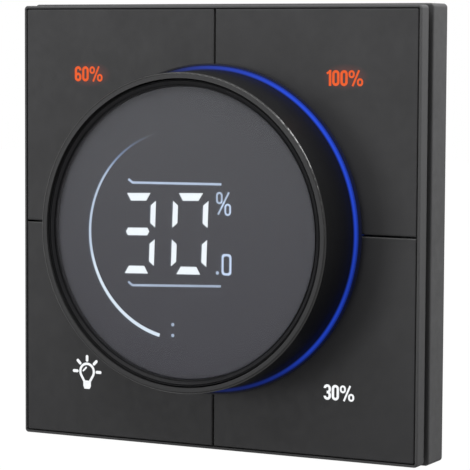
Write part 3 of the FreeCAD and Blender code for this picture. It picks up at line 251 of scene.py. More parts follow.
def grain(tree, place, shader, size, height):
    """A fine grain, as bumps of a real size and height."""
    bump(tree, shader, noise(tree, place, size), height)


def drifting(tree, place, size, colour, drift):
    """A colour that wanders between a little darker and a little lighter."""
    patches = spread(tree, noise(tree, place, size), 0.0, 1.0)
    return shade(tree, patches, [c * (1 - drift) for c in colour], [c * (1 + drift) for c in colour])


def moulded(name, colour, rough=0.5, specular=0.5, grain_size=0.25 * mm, grain_height=0.004 * mm,
            drift=0.08, metallic=0.0):
    """A surface with drifting shade, uneven gloss and a fine grain."""
    material, tree, shader, place = start_material(name, specular=specular)
    tree.links.new(drifting(tree, place, 9 * mm, colour, drift), shader.inputs["Base Color"])
    gloss = spread(tree, noise(tree, place, 1.5 * mm), rough * 0.92, rough * 1.08)
    tree.links.new(gloss, shader.inputs["Roughness"])
    shader.inputs["Metallic"].default_value = metallic
    grain(tree, place, shader, grain_size, grain_height)
    return material


def dress(material, *names):
    """Gives a finish to CAD nodes."""
    for name in names:
        slots = nodes[name].data.materials
        slots.clear()
        slots.append(material)


print("plain finishes ready")

# %% [markdown]
# ## Charcoal mouldings
#
# The keys and the frame are one family of charcoal plastic with a satin, finely blasted face. The two
# upper keys carry orange figures, whose light bleeds a little into the plastic round them. The walls in
# the slits between the keys are painted paler, as painted light reaching into the slits, and the lower
# corners are painted a shade darker, as painted shade. The keys could share the frame's finish, but
# their fronts are darker than the frame's edge.

# %% Finishes of the keys and the frame
quarters = ["top_left", "top_right", "bottom_left", "bottom_right"]
# the pale slit colour is painted light, and the darker corner colour is painted shade
key_charcoal, corner_painted_shade, slit_painted_light = (0.033, 0.033, 0.034), (0.026, 0.026, 0.027), (0.075,) * 3
key_face, slit_reach, slit_start = -11.2 * mm, 0.3 * mm, 0.06 * mm
# where the painted shade of the lower corners fades in, down and outwards
painted_shade_z, painted_shade_x = (-18 * mm, -43 * mm), (5 * mm, 30 * mm)
legend_x, legend_z = 27.5 * mm, 29.3 * mm
glow_across, glow_up, glow_fade, glow_strength = 4.2 * mm, 2.2 * mm, (0.55, 1.15), 0.06


def key_plastic(name):
    """Charcoal with painted light on the walls in the slits and painted shade on the lower corners."""
    material = moulded(name, key_charcoal, rough=0.62, specular=0.16)
    tree, shader, place = reopen(material)
    x, y, z = axes(tree, place)
    x_size = calc(tree, "ABSOLUTE", x)
    # painted shade: the lower corners are made darker, standing in for light that weakens towards the
    # bottom
    corner_painted_shade_mask = times(tree, fade(tree, z, *painted_shade_z), fade(tree, x_size, *painted_shade_x))
    nearest = calc(tree, "MINIMUM", x_size, calc(tree, "ABSOLUTE", z))
    # painted light: the walls in the slits get a paler colour, as if light reached into them
    slit_painted_light_mask = times(tree, calc(tree, "LESS_THAN", nearest, slit_reach),
                    calc(tree, "GREATER_THAN", y, key_face + slit_start))
    colour = shader.inputs["Base Color"].links[0].from_socket
    colour = shade(tree, corner_painted_shade_mask, colour, corner_painted_shade)
    tree.links.new(shade(tree, slit_painted_light_mask, colour, slit_painted_light), shader.inputs["Base Color"])
    return material


def bleed(material, colour):
    """Adds the weak glow of light that leaks round a lit legend in a key's face."""
    tree, shader, place = reopen(material)
    x, _, z = axes(tree, place)
    across = calc(tree, "SUBTRACT", calc(tree, "ABSOLUTE", x), legend_x)
    up = calc(tree, "SUBTRACT", z, legend_z)
    reach = length(tree, calc(tree, "DIVIDE", across, glow_across),
                   calc(tree, "DIVIDE", up, glow_up))
    shader.inputs["Emission Color"].default_value = (*colour, 1.0)
    glow = fade(tree, reach, *glow_fade, glow_strength, 0.0)
    tree.links.new(glow, shader.inputs["Emission Strength"])
    return material


dress(key_plastic("charcoal_keys"), "key_bottom_left", "key_bottom_right")
dress(bleed(key_plastic("charcoal_lit_keys"), (0.9, 0.08, 0.02)), "key_top_left", "key_top_right")
dress(moulded("charcoal_frame", (0.045, 0.045, 0.046), rough=0.62, specular=0.2), "outer_frame")
dress(moulded("black_housing", (0.022, 0.022, 0.024), rough=0.6, drift=0.15), "rear_housing",
      "terminal_block")
dress(moulded("black_trim", (0.006, 0.006, 0.007), rough=0.5, specular=0.1), "display_housing")
print("dressed the mouldings")

# %% [markdown]
# ## Pieces with two finishes
#
# Two pieces are one moulding with two looks. The knob's rim is satin charcoal, also round its mouth,
# but its side wall is nearly black: it takes a dull coat, and its black is also painted shade, as it is
# turned away from the light. The carrier is painted black as painted shade where it lies deep in the gap
# round the keys, and is charcoal on the thin wall that shows beside them. Two materials could split the
# mesh by face, but the CAD mesh is left as it is, so one material tells the front from the rest by how
# far a point lies in front of the wall.

# %% A finish that changes with the depth
rim_front, carrier_rim_front = -25.0 * mm, -8.2 * mm
rim_depth, rim_edge_r, mouth_r = 0.13 * mm, 29.72 * mm, 29.2 * mm
mouth_share = 0.35
# near-black that is painted shade: on the knob's side wall, together with its dull coat, and in the
# carrier's gap round the keys
painted_shade_black = (0.004, 0.004, 0.004)


def two_part(name, front, rest, change, rough, soft, specular=0.08, edge=0.0, mouth=0.0, metal=False):
    """One finish in front of a depth, another behind it and outside the radius of an edge.

    Inside the radius of a mouth most of the first colour goes on behind the depth too. With metal,
    what has the first colour is metallic.
    """
    material, tree, shader, place = start_material(name, specular=specular)
    _, y, _ = axes(tree, place)
    behind = fade(tree, y, change - soft, change + soft)
    if edge:
        outside = fade(tree, distance(tree, place), edge - soft, edge + soft)
        behind = calc(tree, "MAXIMUM", behind, outside)
    if mouth:
        beyond = fade(tree, distance(tree, place), mouth - soft, mouth + soft)
        behind = calc(tree, "MINIMUM", behind, calc(tree, "MAXIMUM", beyond, mouth_share))
    tree.links.new(shade(tree, behind, front, rest), shader.inputs["Base Color"])
    gloss = fade(tree, behind, 0.0, 1.0, *rough)
    uneven = times(tree, gloss, spread(tree, noise(tree, place, 1.5 * mm), 0.94, 1.06))
    tree.links.new(uneven, shader.inputs["Roughness"])
    if metal:
        tree.links.new(calc(tree, "SUBTRACT", 1.0, behind), shader.inputs["Metallic"])
    grain(tree, place, shader, 0.25 * mm, 0.003 * mm)
    return material


# painted shade: behind the front of the carrier's rim, the gap round the keys is painted black
carrier = two_part("carrier_charcoal_and_painted_shade", (0.060, 0.060, 0.061), painted_shade_black, carrier_rim_front,
                   rough=(0.62, 0.7), soft=0.05 * mm)
dress(carrier, "carrier_plate")
print("dressed the carrier")

# %% [markdown]
# ## The knob's trimmed edge
#
# Where the rim's front meets the side wall, the knob has a small rounding that was trimmed after
# moulding and is smoother than the rest. It catches the light from above as a thin bright line at the
# upper right. A coat over the plastic, limited by radius and depth, gives that.

# %% Finish of the knob
edge_gloss_r, edge_gloss_depth, edge_gloss_soft = 29.8 * mm, 0.45 * mm, 0.08 * mm


def polish(material, weight, rough):
    """A gloss on the rounding between the knob's front and its side wall."""
    tree, shader, place = reopen(material)
    _, y, _ = axes(tree, place)
    outside = fade(tree, distance(tree, place), edge_gloss_r - edge_gloss_soft,
                   edge_gloss_r + edge_gloss_soft)
    depth = rim_front + edge_gloss_depth
    front = fade(tree, y, depth + edge_gloss_soft, depth - edge_gloss_soft)
    rounding = times(tree, outside, front)
    tree.links.new(times(tree, rounding, weight), shader.inputs["Coat Weight"])
    shader.inputs["Coat Roughness"].default_value = rough
    return material


# the side wall and its rounding are near-black: a dull black coat with painted shade, as they turn away
# from the light
knob = two_part("knob_charcoal_and_painted_shade", (0.037, 0.037, 0.038), painted_shade_black, rim_front + rim_depth,
                rough=(0.42, 0.45), specular=0.07, soft=0.08 * mm, edge=rim_edge_r, mouth=mouth_r)
dress(polish(knob, 0.65, 0.22), "knob")
print("dressed the knob")

# %% [markdown]
# ## Lit pieces
#
# The legends are clear inlays lit from behind, the figures of the display shine through a dark film,
# and the ring at the knob's foot glows blue. A lamp behind each would be true to life, but slow and
# noisy. Emission on the pieces themselves gives the same look, and it is kept by other programs.

# %% The legends in the keys
def lit(name, colour, body):
    """A clear piece lit from behind, a little uneven as such pieces are."""
    material, tree, shader, place = start_material(name, body, specular=0.05)
    tree.links.new(drifting(tree, place, 1.2 * mm, colour, 0.06), shader.inputs["Emission Color"])
    shader.inputs["Emission Strength"].default_value = 1.0
    return material


orange = lit("legend_orange", (0.86, 0.115, 0.025), (0.006, 0.002, 0.001))
white = lit("legend_white", (0.93, 0.95, 0.97), (0.01, 0.01, 0.01))
dress(orange, "legend_top_left", "legend_top_right")
dress(white, "legend_bottom_left", "legend_bottom_right")
print("dressed the legends")

# %% [markdown]
# ## Figures of the display
#
# The figures don't shine alike. The two large ones have the strongest sources behind them. The rest is
# weaker and bluer, the signs at the right a little less so, the lower rule and the dots more. The arc
# at the left fades out towards its upper end, because its last source is far from there. Each field
# could be a piece with its own finish, but all are one piece in the frame, so the finish works out
# from a point's place which field it is in.

# %% Light of the figures
film_colour = (0.066, 0.063, 0.074)
large_left, large_right, large_half = -14.6 * mm, 6.3 * mm, 8.8 * mm
arc_x, arc_z, arc_inner, arc_right = -0.80 * mm, -0.50 * mm, 18.4 * mm, -3.5 * mm
signs_left, signs_z, signs_half, low_rule = 7.7 * mm, -1.2 * mm, 7.4 * mm, -9.0 * mm
large_level, arc_strength, signs_gain, low_loss = 1.12, 1.05, 0.32, 0.18
arc_fading = [(-80, 1.0), (-20, 1.0), (-8, 0.80), (32, 0.74), (38, 0.60), (44, 0.40), (50, 0.25),
              (56, 0.15), (62, 0.08), (70, 0.0), (80, 0.0)]


def figure_light():
    """Light for each field of the figures: its strength and how blue it is."""
    material, tree, shader, place = start_material("figure_light", film_colour)
    x, _, z = axes(tree, place)

    def near(value, middle, half):
        off = calc(tree, "ABSOLUTE", calc(tree, "SUBTRACT", value, middle))
        return calc(tree, "LESS_THAN", off, half)

    beside = times(tree, calc(tree, "GREATER_THAN", x, large_left),
                   calc(tree, "LESS_THAN", x, large_right))
    large = times(tree, beside, near(z, 0.0, large_half))
    outside = calc(tree, "GREATER_THAN", distance(tree, place, arc_x, arc_z), arc_inner)
    arc = times(tree, outside, calc(tree, "LESS_THAN", x, arc_right))
    signs = times(tree, calc(tree, "GREATER_THAN", x, signs_left), near(z, signs_z, signs_half))
    low = calc(tree, "LESS_THAN", z, low_rule)

    weight = calc(tree, "SUBTRACT", calc(tree, "MULTIPLY_ADD", signs, signs_gain, 1.0),
                  times(tree, low, low_loss))
    small = times(tree, spread(tree, noise(tree, place, 5 * mm), 0.72, 0.84), weight)
    along = curve(tree, angle(tree, place, arc_x, arc_z, mirror=-1.0), -80.0, 80.0, arc_fading)
    level = choose(tree, arc, times(tree, along, arc_strength),
                   choose(tree, large, large_level, small))
    tree.links.new(level, shader.inputs["Emission Strength"])
    on_arc = shade(tree, along, (0.20, 0.46, 1.0), (0.79, 0.90, 1.0))
    elsewhere = shade(tree, large, (0.62, 0.76, 1.0), (0.92, 0.97, 1.0))
    tree.links.new(shade(tree, arc, elsewhere, on_arc), shader.inputs["Emission Color"])
    return material


dress(figure_light(), "display_segments")
print("dressed the figures")

# %% [markdown]
# ## The light ring
#
# The ring is a clear tube over small blue sources, with a narrow flange that shows at the knob's foot.
# Its light is strongest along the middle of the flange and fades to both edges, and round the knob it
# fades out at the top and at the lower left. Where its light falls on the black lip beside it, that is
# painted light: the lip glows by itself. Two curves give that, one on the distance from the axis and one
# on the angle.

# %% Light of the ring
ring_colour = (0.022, 0.098, 1.0)


def ring_level(tree, place):
    """How strongly the ring shines at each angle, from 0 to 1."""
    return curve(tree, angle(tree, place), -180.0, 180.0,
                 [(-180, 0.04), (-95, 0.06), (-75, 0.15), (-60, 0.27), (-45, 0.58), (-30, 0.64),
                  (-15, 0.52), (0, 0.70), (22, 0.88), (45, 1.0), (60, 0.93), (75, 0.66), (90, 0.42),
                  (98, 0.26), (105, 0.04), (180, 0.04)])


def ring_light(name, body, across, strength, specular):
    """Blue light whose strength follows the angle and a curve across the ring's width."""
    material, tree, shader, place = start_material(name, body, specular=specular)
    shader.inputs["Emission Color"].default_value = (*ring_colour, 1.0)
    width = curve(tree, distance(tree, place), across[0][0], across[-1][0], across)
    level = times(tree, width, ring_level(tree, place))
    tree.links.new(times(tree, level, strength), shader.inputs["Emission Strength"])
    grain(tree, place, shader, 0.4 * mm, 0.002 * mm)
    return material


flange = [(29.9 * mm, 0.0), (30.25 * mm, 0.02), (30.45 * mm, 0.2), (30.6 * mm, 0.7), (30.75 * mm, 1.0),
          (30.95 * mm, 0.95), (31.15 * mm, 0.55), (31.3 * mm, 0.35)]
lip = [(31.2 * mm, 0.12), (31.35 * mm, 0.10), (31.65 * mm, 0.02)]
dress(ring_light("ring_blue", (0.012, 0.013, 0.02), flange, strength=0.76, specular=0.05),
      "light_ring")
# painted light: the lip's own emission stands in for the ring's light falling on it
dress(ring_light("black_lip_painted_glow", (0.006, 0.006, 0.007), lip, strength=0.72, specular=0.1), "ring_collar")
print("dressed the light ring")

# %% [markdown]
# ## A helper for new pieces
#
# Some pieces are clearer in Blender than in the frame: a ground edge, fine grooves, wound wire, solder.
# Each is built with bmesh operators in its place, then handed over here: its normals are made to point
# outwards, flat and curved faces are told apart by their angle, and it is tied to the body that
# carries it.

# %% Hand over a piece
def hand_over(name, shape, material, body="base", replaced=(), sharp=30.0):
    """Makes a piece of the scene from a bmesh, ties it to its body and hides the pieces it replaces."""
    bmesh.ops.recalc_face_normals(shape, faces=shape.faces)
    for face in shape.faces:
        face.smooth = True
    mesh = bpy.data.meshes.new(name)
    shape.to_mesh(mesh)
    shape.free()
    mesh.set_sharp_from_angle(angle=math.radians(sharp))
    mesh.materials.append(material)
    piece = bpy.data.objects.new(name, mesh)
    bpy.context.scene.collection.objects.link(piece)
    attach(piece, body)
    if replaced:
        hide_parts(*replaced)
    print(name, len(mesh.polygons), "faces")


def turn_profile(shape, points, steps, x=0.0, z=0.0, closed=True):
    """A profile of (radius, depth) points in millimetres, turned about an axis along the depth.

    Depths count outwards from the wall and are negative behind it.
    """
    verts = [shape.verts.new((x * mm + r * mm, -d * mm, z * mm)) for r, d in points]
    pairs = list(zip(verts, verts[1:])) + ([(verts[-1], verts[0])] if closed else [])
    edges = [shape.edges.new(pair) for pair in pairs]
    bmesh.ops.spin(shape, geom=verts + edges, cent=(x * mm, 0.0, z * mm), dvec=(0, 0, 0),
                   axis=(0.0, 1.0, 0.0), angle=2 * math.pi, steps=steps, use_merge=True,
                   use_duplicate=False)
    bmesh.ops.remove_doubles(shape, verts=shape.verts, dist=1e-7)


print("helpers for new pieces ready")

# %% [markdown]
# ## Display glass
#
# The glass has a satin front and a finely ground edge, and the figures behind it have to come through
# clearly. An absorbing volume would be true to life, but slow and noisy. Here a dull grey is mixed
# with a large see-through part, and a share of that part is scattered, which gives the figures their
# soft halo. The way out through the rear face is clear, so that the light is weakened only once. The
# glass rests on its edge in the bezel and leaves a hair of air before the film.

# %% Lens of smoked glass
glass_front, glass_rear, glass_radius, ground = 24.15, 23.09, 27.42, 0.18
halo_share, clear_share = 0.15, (0.79, 0.80)


def smoked_glass():
    """Dull grey on the way in, mostly see-through, and clear on the way out."""
    material, tree, shader, place = start_material("smoked_glass", (0.055, 0.053, 0.061))
    clear = tree.nodes.new("ShaderNodeBsdfTransparent").outputs["BSDF"]
    scatter = tree.nodes.new("ShaderNodeBsdfRefraction")
    scatter.inputs["Roughness"].default_value = 0.9
    scatter.inputs["IOR"].default_value = 1.3
    scatter.inputs["Color"].default_value = (0.75, 0.88, 1.0, 1.0)
    through = mix_shaders(tree, halo_share, clear, scatter.outputs["BSDF"])
    cloudy = spread(tree, noise(tree, place, 8 * mm), *clear_share)
    entering = mix_shaders(tree, cloudy, shader.outputs["BSDF"], through)
    leaving = tree.nodes.new("ShaderNodeNewGeometry").outputs["Backfacing"]
    show(tree, mix_shaders(tree, leaving, entering, clear))
    return material


shape = bmesh.new()
turn_profile(shape, [(0.0, glass_rear), (glass_radius, glass_rear), (glass_radius, glass_front - ground),
                     (glass_radius - 0.3 * ground, glass_front - 0.3 * ground),
                     (glass_radius - ground, glass_front), (0.0, glass_front)], steps=192, closed=False)
hand_over("display_lens", shape, smoked_glass(), replaced=["display_glass"], sharp=15.0)

# %% [markdown]
# ## Film behind the glass
#
# The smoke-grey film gives the display its shade. Printed film is even, so its lighter top and its
# slightly violet lower part are painted light and painted shade, standing in for light that falls from
# above and its reflection in the glass. A fade along the height with a little noise gives both.

# %% Finish of the film
film_painted_shade, film_painted_light = (0.056, 0.053, 0.062), (0.079, 0.077, 0.081)


def smoke_film():
    """The film's grey, with painted light that makes it lighter towards the top."""
    material, tree, shader, place = start_material("smoke_film", rough=0.7, specular=0.2)
    _, _, z = axes(tree, place)
    # painted light: the film's colour grows lighter towards the top, as if lit from above
    painted_light_upwards = fade(tree, z, -glass_radius * mm, glass_radius * mm)
    cloudy = calc(tree, "ADD", painted_light_upwards, spread(tree, noise(tree, place, 12 * mm), -0.04, 0.04))
    tree.links.new(shade(tree, cloudy, film_painted_shade, film_painted_light), shader.inputs["Base Color"])
    return material


dress(smoke_film(), "display_mask")
print("dressed the film")

# %% [markdown]
# ## Bezel
#
# Between the glass and the knob's rim lies a black ring. Its face slopes down to the glass between two
# narrow grooves, which is why the picture shows thin black lines beside it, and it is finely turned, so
# it shines where it faces up or down and stays dark at the sides. One profile of a dozen points is spun
# round the knob's axis, and the turning marks are circular waves in its finish.

# %% Turned bezel
def turned_black(name, colour, pitch, height, rough, specular):
    """Black plastic with fine circular turning marks."""
    material, tree, shader, place = start_material(name, rough=rough, specular=specular)
    tree.links.new(drifting(tree, place, 3 * mm, colour, 0.15), shader.inputs["Base Color"])
    turns = times(tree, distance(tree, place), 2 * math.pi / pitch)
    bump(tree, shader, calc(tree, "SINE", turns), height)
    return material


shape = bmesh.new()
turn_profile(shape, [(27.50, 21.0), (28.70, 21.0), (28.70, 24.38), (28.64, 24.46), (28.56, 24.42),
                     (28.50, 24.16), (28.44, 24.36), (28.34, 24.38), (27.84, 24.16), (27.76, 24.10),
                     (27.70, 23.85), (27.62, 23.85), (27.58, 24.05), (27.50, 24.05)], steps=192)
bezel = turned_black("bezel_black", (0.006, 0.006, 0.007), pitch=0.16 * mm, height=0.008 * mm,
                     rough=0.35, specular=0.1)
hand_over("display_bezel_ring", shape, bezel, replaced=["display_bezel"])

# %% [markdown]
# ## Inside pieces
#
# Nobody sees them on the wall, but the part can be opened. Screws, clamps and the spring are bare
# metal, the washer and the notched ring are bearing plastic, the reflector block is white to save
# light, and the pins of the header are gilt where they stand out of their black base. A line for each
# finish is enough to tell them apart.

# %% Finishes of the inside pieces
header_top = 3.4 * mm
inside_finishes = [  # name, colour, roughness, share of metal, what it is on
    ("zinc_steel", (0.55, 0.54, 0.50), 0.35, 1.0, ["housing_screws", "terminal_screws", "post_screws"]),
    ("spring_steel", (0.50, 0.50, 0.50), 0.3, 1.0, ["detent_spring"]),
    ("brass", (0.72, 0.50, 0.20), 0.35, 1.0, ["terminal_clamps"]),
    ("sheet_aluminium", (0.70, 0.71, 0.72), 0.38, 1.0, ["heat_sink"]),
    ("screening_can", (0.55, 0.55, 0.54), 0.35, 1.0, ["radio_module"]),
    ("component_black", (0.018, 0.018, 0.018), 0.5, 0.0,
     ["header_socket", "dimmer_transistors", "control_chip", "hall_sensors", "cable_plug"]
     + ["switch_" + q for q in quarters]),
    ("yellow_box", (0.60, 0.40, 0.03), 0.3, 0.0, ["film_capacitor"]),
    ("insulating_film", (0.35, 0.32, 0.22), 0.4, 0.0, ["insulating_sheet"]),
    ("lamp_lens", (0.75, 0.68, 0.35), 0.3, 0.0, ["legend_leds", "ring_leds"]),
    ("bonded_magnet", (0.07, 0.07, 0.07), 0.55, 0.0, ["magnet_ring"]),
    ("bearing_white", (0.70, 0.69, 0.64), 0.45, 0.0, ["detent_ring", "slide_washer"]),
    ("reflector_white", (0.78, 0.78, 0.75), 0.5, 0.0, ["segment_block"]),
    ("amber_cable", (0.50, 0.24, 0.04), 0.3, 0.0, ["display_cable"]),
    ("grey_stem", (0.33, 0.33, 0.34), 0.45, 0.0, ["stem_" + q for q in quarters]),
]
for name, colour, rough, metallic, dressed in inside_finishes:
    dress(moulded(name, colour, rough=rough, metallic=metallic), *dressed)
pins = two_part("gilt_pins", (0.80, 0.62, 0.25), (0.018, 0.018, 0.018), header_top, rough=(0.3, 0.5),
                soft=0.02 * mm, metal=True)
dress(pins, "pin_header")
print("dressed the inside pieces")

# %% [markdown]
# ## Circuit boards
#
# A circuit board is glass cloth in resin under lacquer. Where copper lies beneath the lacquer, the
# board is lighter and stands a hair higher. Its tracks could be drawn, but that would need a picture.
# The cells of a Voronoi pattern, with distances counted in squares, look like poured copper areas
# with narrow gaps between them.

# %% Finish of the circuit boards
copper_area, gap_edges, copper_height, lacquer_rough = 4.5 * mm, (0.05, 0.09), 0.03 * mm, 0.35


def circuit_board(name, bare, copper):
    """Lacquer that is lighter over the copper's areas than over the gaps between them."""
    material, tree, shader, place = start_material(name)
    x, _, z = axes(tree, place)
    flat = tree.nodes.new("ShaderNodeCombineXYZ")
    tree.links.new(x, flat.inputs["X"])
    tree.links.new(z, flat.inputs["Y"])
    nearest = []
    for feature in ("F1", "F2"):
        cells = tree.nodes.new("ShaderNodeTexVoronoi")
        cells.distance = "CHEBYCHEV"
        cells.feature = feature
        cells.inputs["Scale"].default_value = 1.0 / copper_area
        tree.links.new(flat.outputs["Vector"], cells.inputs["Vector"])
        nearest.append(cells.outputs["Distance"])
    covered = fade(tree, calc(tree, "SUBTRACT", nearest[1], nearest[0]), *gap_edges)
    tree.links.new(shade(tree, covered, bare, copper), shader.inputs["Base Color"])
    gloss = spread(tree, noise(tree, place, 3 * mm), lacquer_rough * 0.9, lacquer_rough * 1.1)
    tree.links.new(gloss, shader.inputs["Roughness"])
    bump(tree, shader, covered, copper_height)
    return material


dress(circuit_board("green_board", (0.010, 0.085, 0.035), (0.018, 0.13, 0.055)), "power_board")
dress(circuit_board("black_board", (0.007, 0.010, 0.009), (0.014, 0.019, 0.016)), "control_board",
      "display_board")
print("dressed the boards")

# %% [markdown]
# ## Components on the boards
#
# The power board's components are bought parts with forms of their own: a can with a rolled foot and a
# scored vent, a ring wound with enamelled wire, a transformer whose core clamps a taped coil. They are
# built with softened blocks, wires along a path and turned profiles. Modelling them in the frame would
# be just as possible, but nothing there depends on them, and bmesh gives a winding in a few lines.

# %% Helpers for blocks and wires
def soften(shape, edges, offset, segments=2):
    """Rounds edges by an offset in millimetres."""
    bmesh.ops.bevel(shape, geom=list(edges), offset=offset * mm, offset_type="OFFSET",
                    segments=segments, profile=0.5, affect="EDGES", material=-1)


def block(shape, x, d, z, soft=0.0, segments=2):
    """A block from (low, high) pairs in millimetres, its depths d negative behind the wall."""
    verts = bmesh.ops.create_cube(shape, size=1.0)["verts"]
    for vert in verts:
        side = [c > 0 for c in vert.co]
        vert.co = Vector((x[side[0]], -d[not side[1]], z[side[2]])) * mm
    if soft:
        soften(shape, {edge for vert in verts for edge in vert.link_edges}, soft, segments)


def wire(shape, radius, path, sides=8):
    """A round wire with closed ends through (x, d, z) points in millimetres, depths as for a block."""
    places = [Vector((x, -d, z)) * mm for x, d, z in path]
    last = len(places) - 1
    rings = []
    for i, place in enumerate(places):
        way = places[min(i + 1, last)] - places[max(i - 1, 0)]
        turn = way.to_track_quat("Z", "Y").to_matrix().to_4x4()
        ring = bmesh.ops.create_circle(shape, cap_ends=i in (0, last), segments=sides,
                                       radius=radius * mm, matrix=Matrix.Translation(place) @ turn)
        rings.append({edge for vert in ring["verts"] for edge in vert.link_edges})
    for first, second in zip(rings, rings[1:]):
        bmesh.ops.bridge_loops(shape, edges=list(first | second))


aluminium = moulded("bare_aluminium", (0.72, 0.73, 0.74), rough=0.3, metallic=1.0)
tin = moulded("solder", (0.62, 0.62, 0.60), rough=0.25, metallic=1.0, grain_size=0.6 * mm)
ferrite = moulded("ferrite", (0.05, 0.05, 0.055), rough=0.55, grain_height=0.006 * mm)
board_rear, board_front, control_front = -7.6, -6.0, 6.9
print("board faces at", board_rear, board_front, control_front)

# %% [markdown]
# ## Capacitor
#
# An electrolytic capacitor is an aluminium can in a shrunk sleeve. The sleeve grips the groove that is
# rolled in above the foot and turns over the shoulder at the end, where the bare metal shows, scored
# with a cross so that it opens there first. The cross is cut as four lines across the disc, and the
# faces between each pair are pushed in.

# %% Can and its scored end
can_x, can_z, disc_radius, disc_depth, disc_height = 15.0, 13.0, 4.1, -21.2, 0.3
score, score_depth, score_wall = 0.22, 0.12, 0.04
shape = bmesh.new()
turn_profile(shape, [(0.0, board_rear), (4.6, board_rear), (4.94, -7.9), (5.0, -8.3), (5.0, -9.2),
                     (4.74, -9.55), (4.70, -9.8), (4.74, -10.05), (5.0, -10.4), (5.0, -20.9),
                     (4.93, -21.3), (4.7, -21.55), (4.35, -21.6), (4.15, -21.5),
                     (disc_radius, disc_depth), (0.0, disc_depth)],
             steps=64, x=can_x, z=can_z, closed=False)
sleeve = moulded("can_sleeve", (0.016, 0.028, 0.085), rough=0.22, drift=0.12)
hand_over("capacitor_can", shape, sleeve, replaced=["bulk_capacitor"])

shape = bmesh.new()
bmesh.ops.create_circle(shape, cap_ends=True, segments=48, radius=disc_radius * mm,
                        matrix=Matrix.Rotation(math.pi / 2, 4, "X"))
for axis in ((1, 0, 0), (0, 0, 1)):
    for side in (-1, 1):
        bmesh.ops.bisect_plane(shape, geom=shape.verts[:] + shape.edges[:] + shape.faces[:],
                               plane_co=Vector(axis) * side * score * mm, plane_no=axis, dist=1e-7)
bmesh.ops.translate(shape, verts=shape.verts, vec=(can_x * mm, -disc_depth * mm, can_z * mm))
raised = bmesh.ops.extrude_face_region(shape, geom=shape.faces[:], use_keep_orig=True)["geom"]
top = [item for item in raised if isinstance(item, bmesh.types.BMVert)]
bmesh.ops.translate(shape, verts=top, vec=(0.0, disc_height * mm, 0.0))
cross = [item for item in raised if isinstance(item, bmesh.types.BMFace)
         and min(abs(item.calc_center_median().x - can_x * mm),
                 abs(item.calc_center_median().z - can_z * mm)) < score * mm]
bmesh.ops.inset_region(shape, faces=cross, thickness=score_wall * mm, depth=-score_depth * mm)
hand_over("capacitor_vent", shape, aluminium)

# %% [markdown]
# ## Choke
#
# A ring of ferrite wound with enamelled wire. The wire is one path: it climbs outside, crosses the top,
# goes down through the hole and moves on a little with each turn, and both ends run down to the board.
# A flat copper-coloured ring would do from afar, but the turns are what makes a choke a choke.

# %% Core and winding
choke_x, choke_z, turns, wound, wire_radius = -2.5, -1.0, 22, 320, 0.28
shape = bmesh.new()
turn_profile(shape, [(3.1, -8.3), (3.3, -8.1), (4.1, -8.1), (4.3, -8.3), (4.3, -11.9), (4.1, -12.1),
                     (3.3, -12.1), (3.1, -11.9)], steps=48, x=choke_x, z=choke_z)
hand_over("choke_core", shape, ferrite, replaced=["choke"])

section = [(4.4, -7.92), (4.68, -8.3), (4.68, -11.9), (4.4, -12.28), (3.0, -12.28), (2.72, -11.9),
           (2.72, -8.3), (3.0, -7.92)]
path, end_radius, last_step = [], 4.55, turns * len(section)
for step in range(-1, last_step + 2):
    radius, depth = section[step % len(section)]
    if step in (-1, last_step + 1):
        radius, depth = end_radius, board_rear
    way = math.radians(wound * (step / last_step - 0.5))
    path.append((choke_x + radius * math.cos(way), depth, choke_z + radius * math.sin(way)))
shape = bmesh.new()
wire(shape, wire_radius, path, sides=6)
enamel = moulded("enamelled_copper", (0.42, 0.13, 0.04), rough=0.25, metallic=0.6)
hand_over("choke_winding", shape, enamel, sharp=60.0)

# %% [markdown]
# ## Transformer
#
# Two E-shaped halves of ferrite close round a bobbin. The coil fills the window between them, wrapped
# in yellow tape whose edges show as thin steps. The core starts as one block; a window is inset in
# both of its faces, and the two openings are bridged.

# %% Core, bobbin and taped coil
core_x, core_depths, core_z, core_bar = (-7.5, 7.5), (-21.1, -9.6), (8.75, 15.25), 1.9
shape = bmesh.new()
block(shape, core_x, core_depths, core_z)
middle = sum(core_z) / 2 * mm
faces = [face for face in shape.faces if abs(face.calc_center_median().z - middle) > core_bar * mm]
bmesh.ops.inset_individual(shape, faces=faces, thickness=core_bar * mm)
rims = list({edge for face in faces for edge in face.edges})
bmesh.ops.delete(shape, geom=faces, context="FACES_ONLY")
bmesh.ops.bridge_loops(shape, edges=rims)
outer = [edge for edge in shape.edges if len(edge.link_faces) == 2 and edge.calc_face_angle() > 1.0]
soften(shape, outer, 0.25)
hand_over("transformer_core", shape, ferrite, replaced=["transformer"])

shape = bmesh.new()
block(shape, (-6.75, 6.75), (-9.6, board_rear), (5.5, 18.5), soft=0.3)
for low, high in ((5.6, 8.55), (15.45, 18.4)):
    block(shape, (-5.25, 5.25), (-12.2, -9.55), (low, high), soft=0.2)
for low, high in ((-12.2, -11.55), (-19.15, -18.5)):
    block(shape, (-5.25, 5.25), (low, high), (5.55, 18.45), soft=0.2)
bobbin = moulded("bobbin_black", (0.02, 0.02, 0.021), rough=0.4)
hand_over("transformer_bobbin", shape, bobbin)

shape = bmesh.new()
for low, high, inward in ((-18.5, -12.2, 0.35), (-17.9, -12.8, 0.12), (-16.6, -13.9, 0.0)):
    block(shape, (-5.0 + inward, 5.0 - inward), (low, high), (5.7 + inward, 18.3 - inward), soft=0.9,
          segments=4)
hand_over("transformer_tape", shape, moulded("yellow_tape", (0.62, 0.44, 0.06), rough=0.3))

# %% [markdown]
# ## Fuse
#
# A small axial fuse: a ceramic tube between two pressed caps, with a wire from each cap bent down into
# the board. The tube and the caps are turned profiles, built about the depth axis and then laid down.

# %% Tube, caps and leads
fuse_x, fuse_z, fuse_depth, cap_end, lead_reach, lead_radius = 9.75, -8.0, -9.8, 4.2, 0.95, 0.35


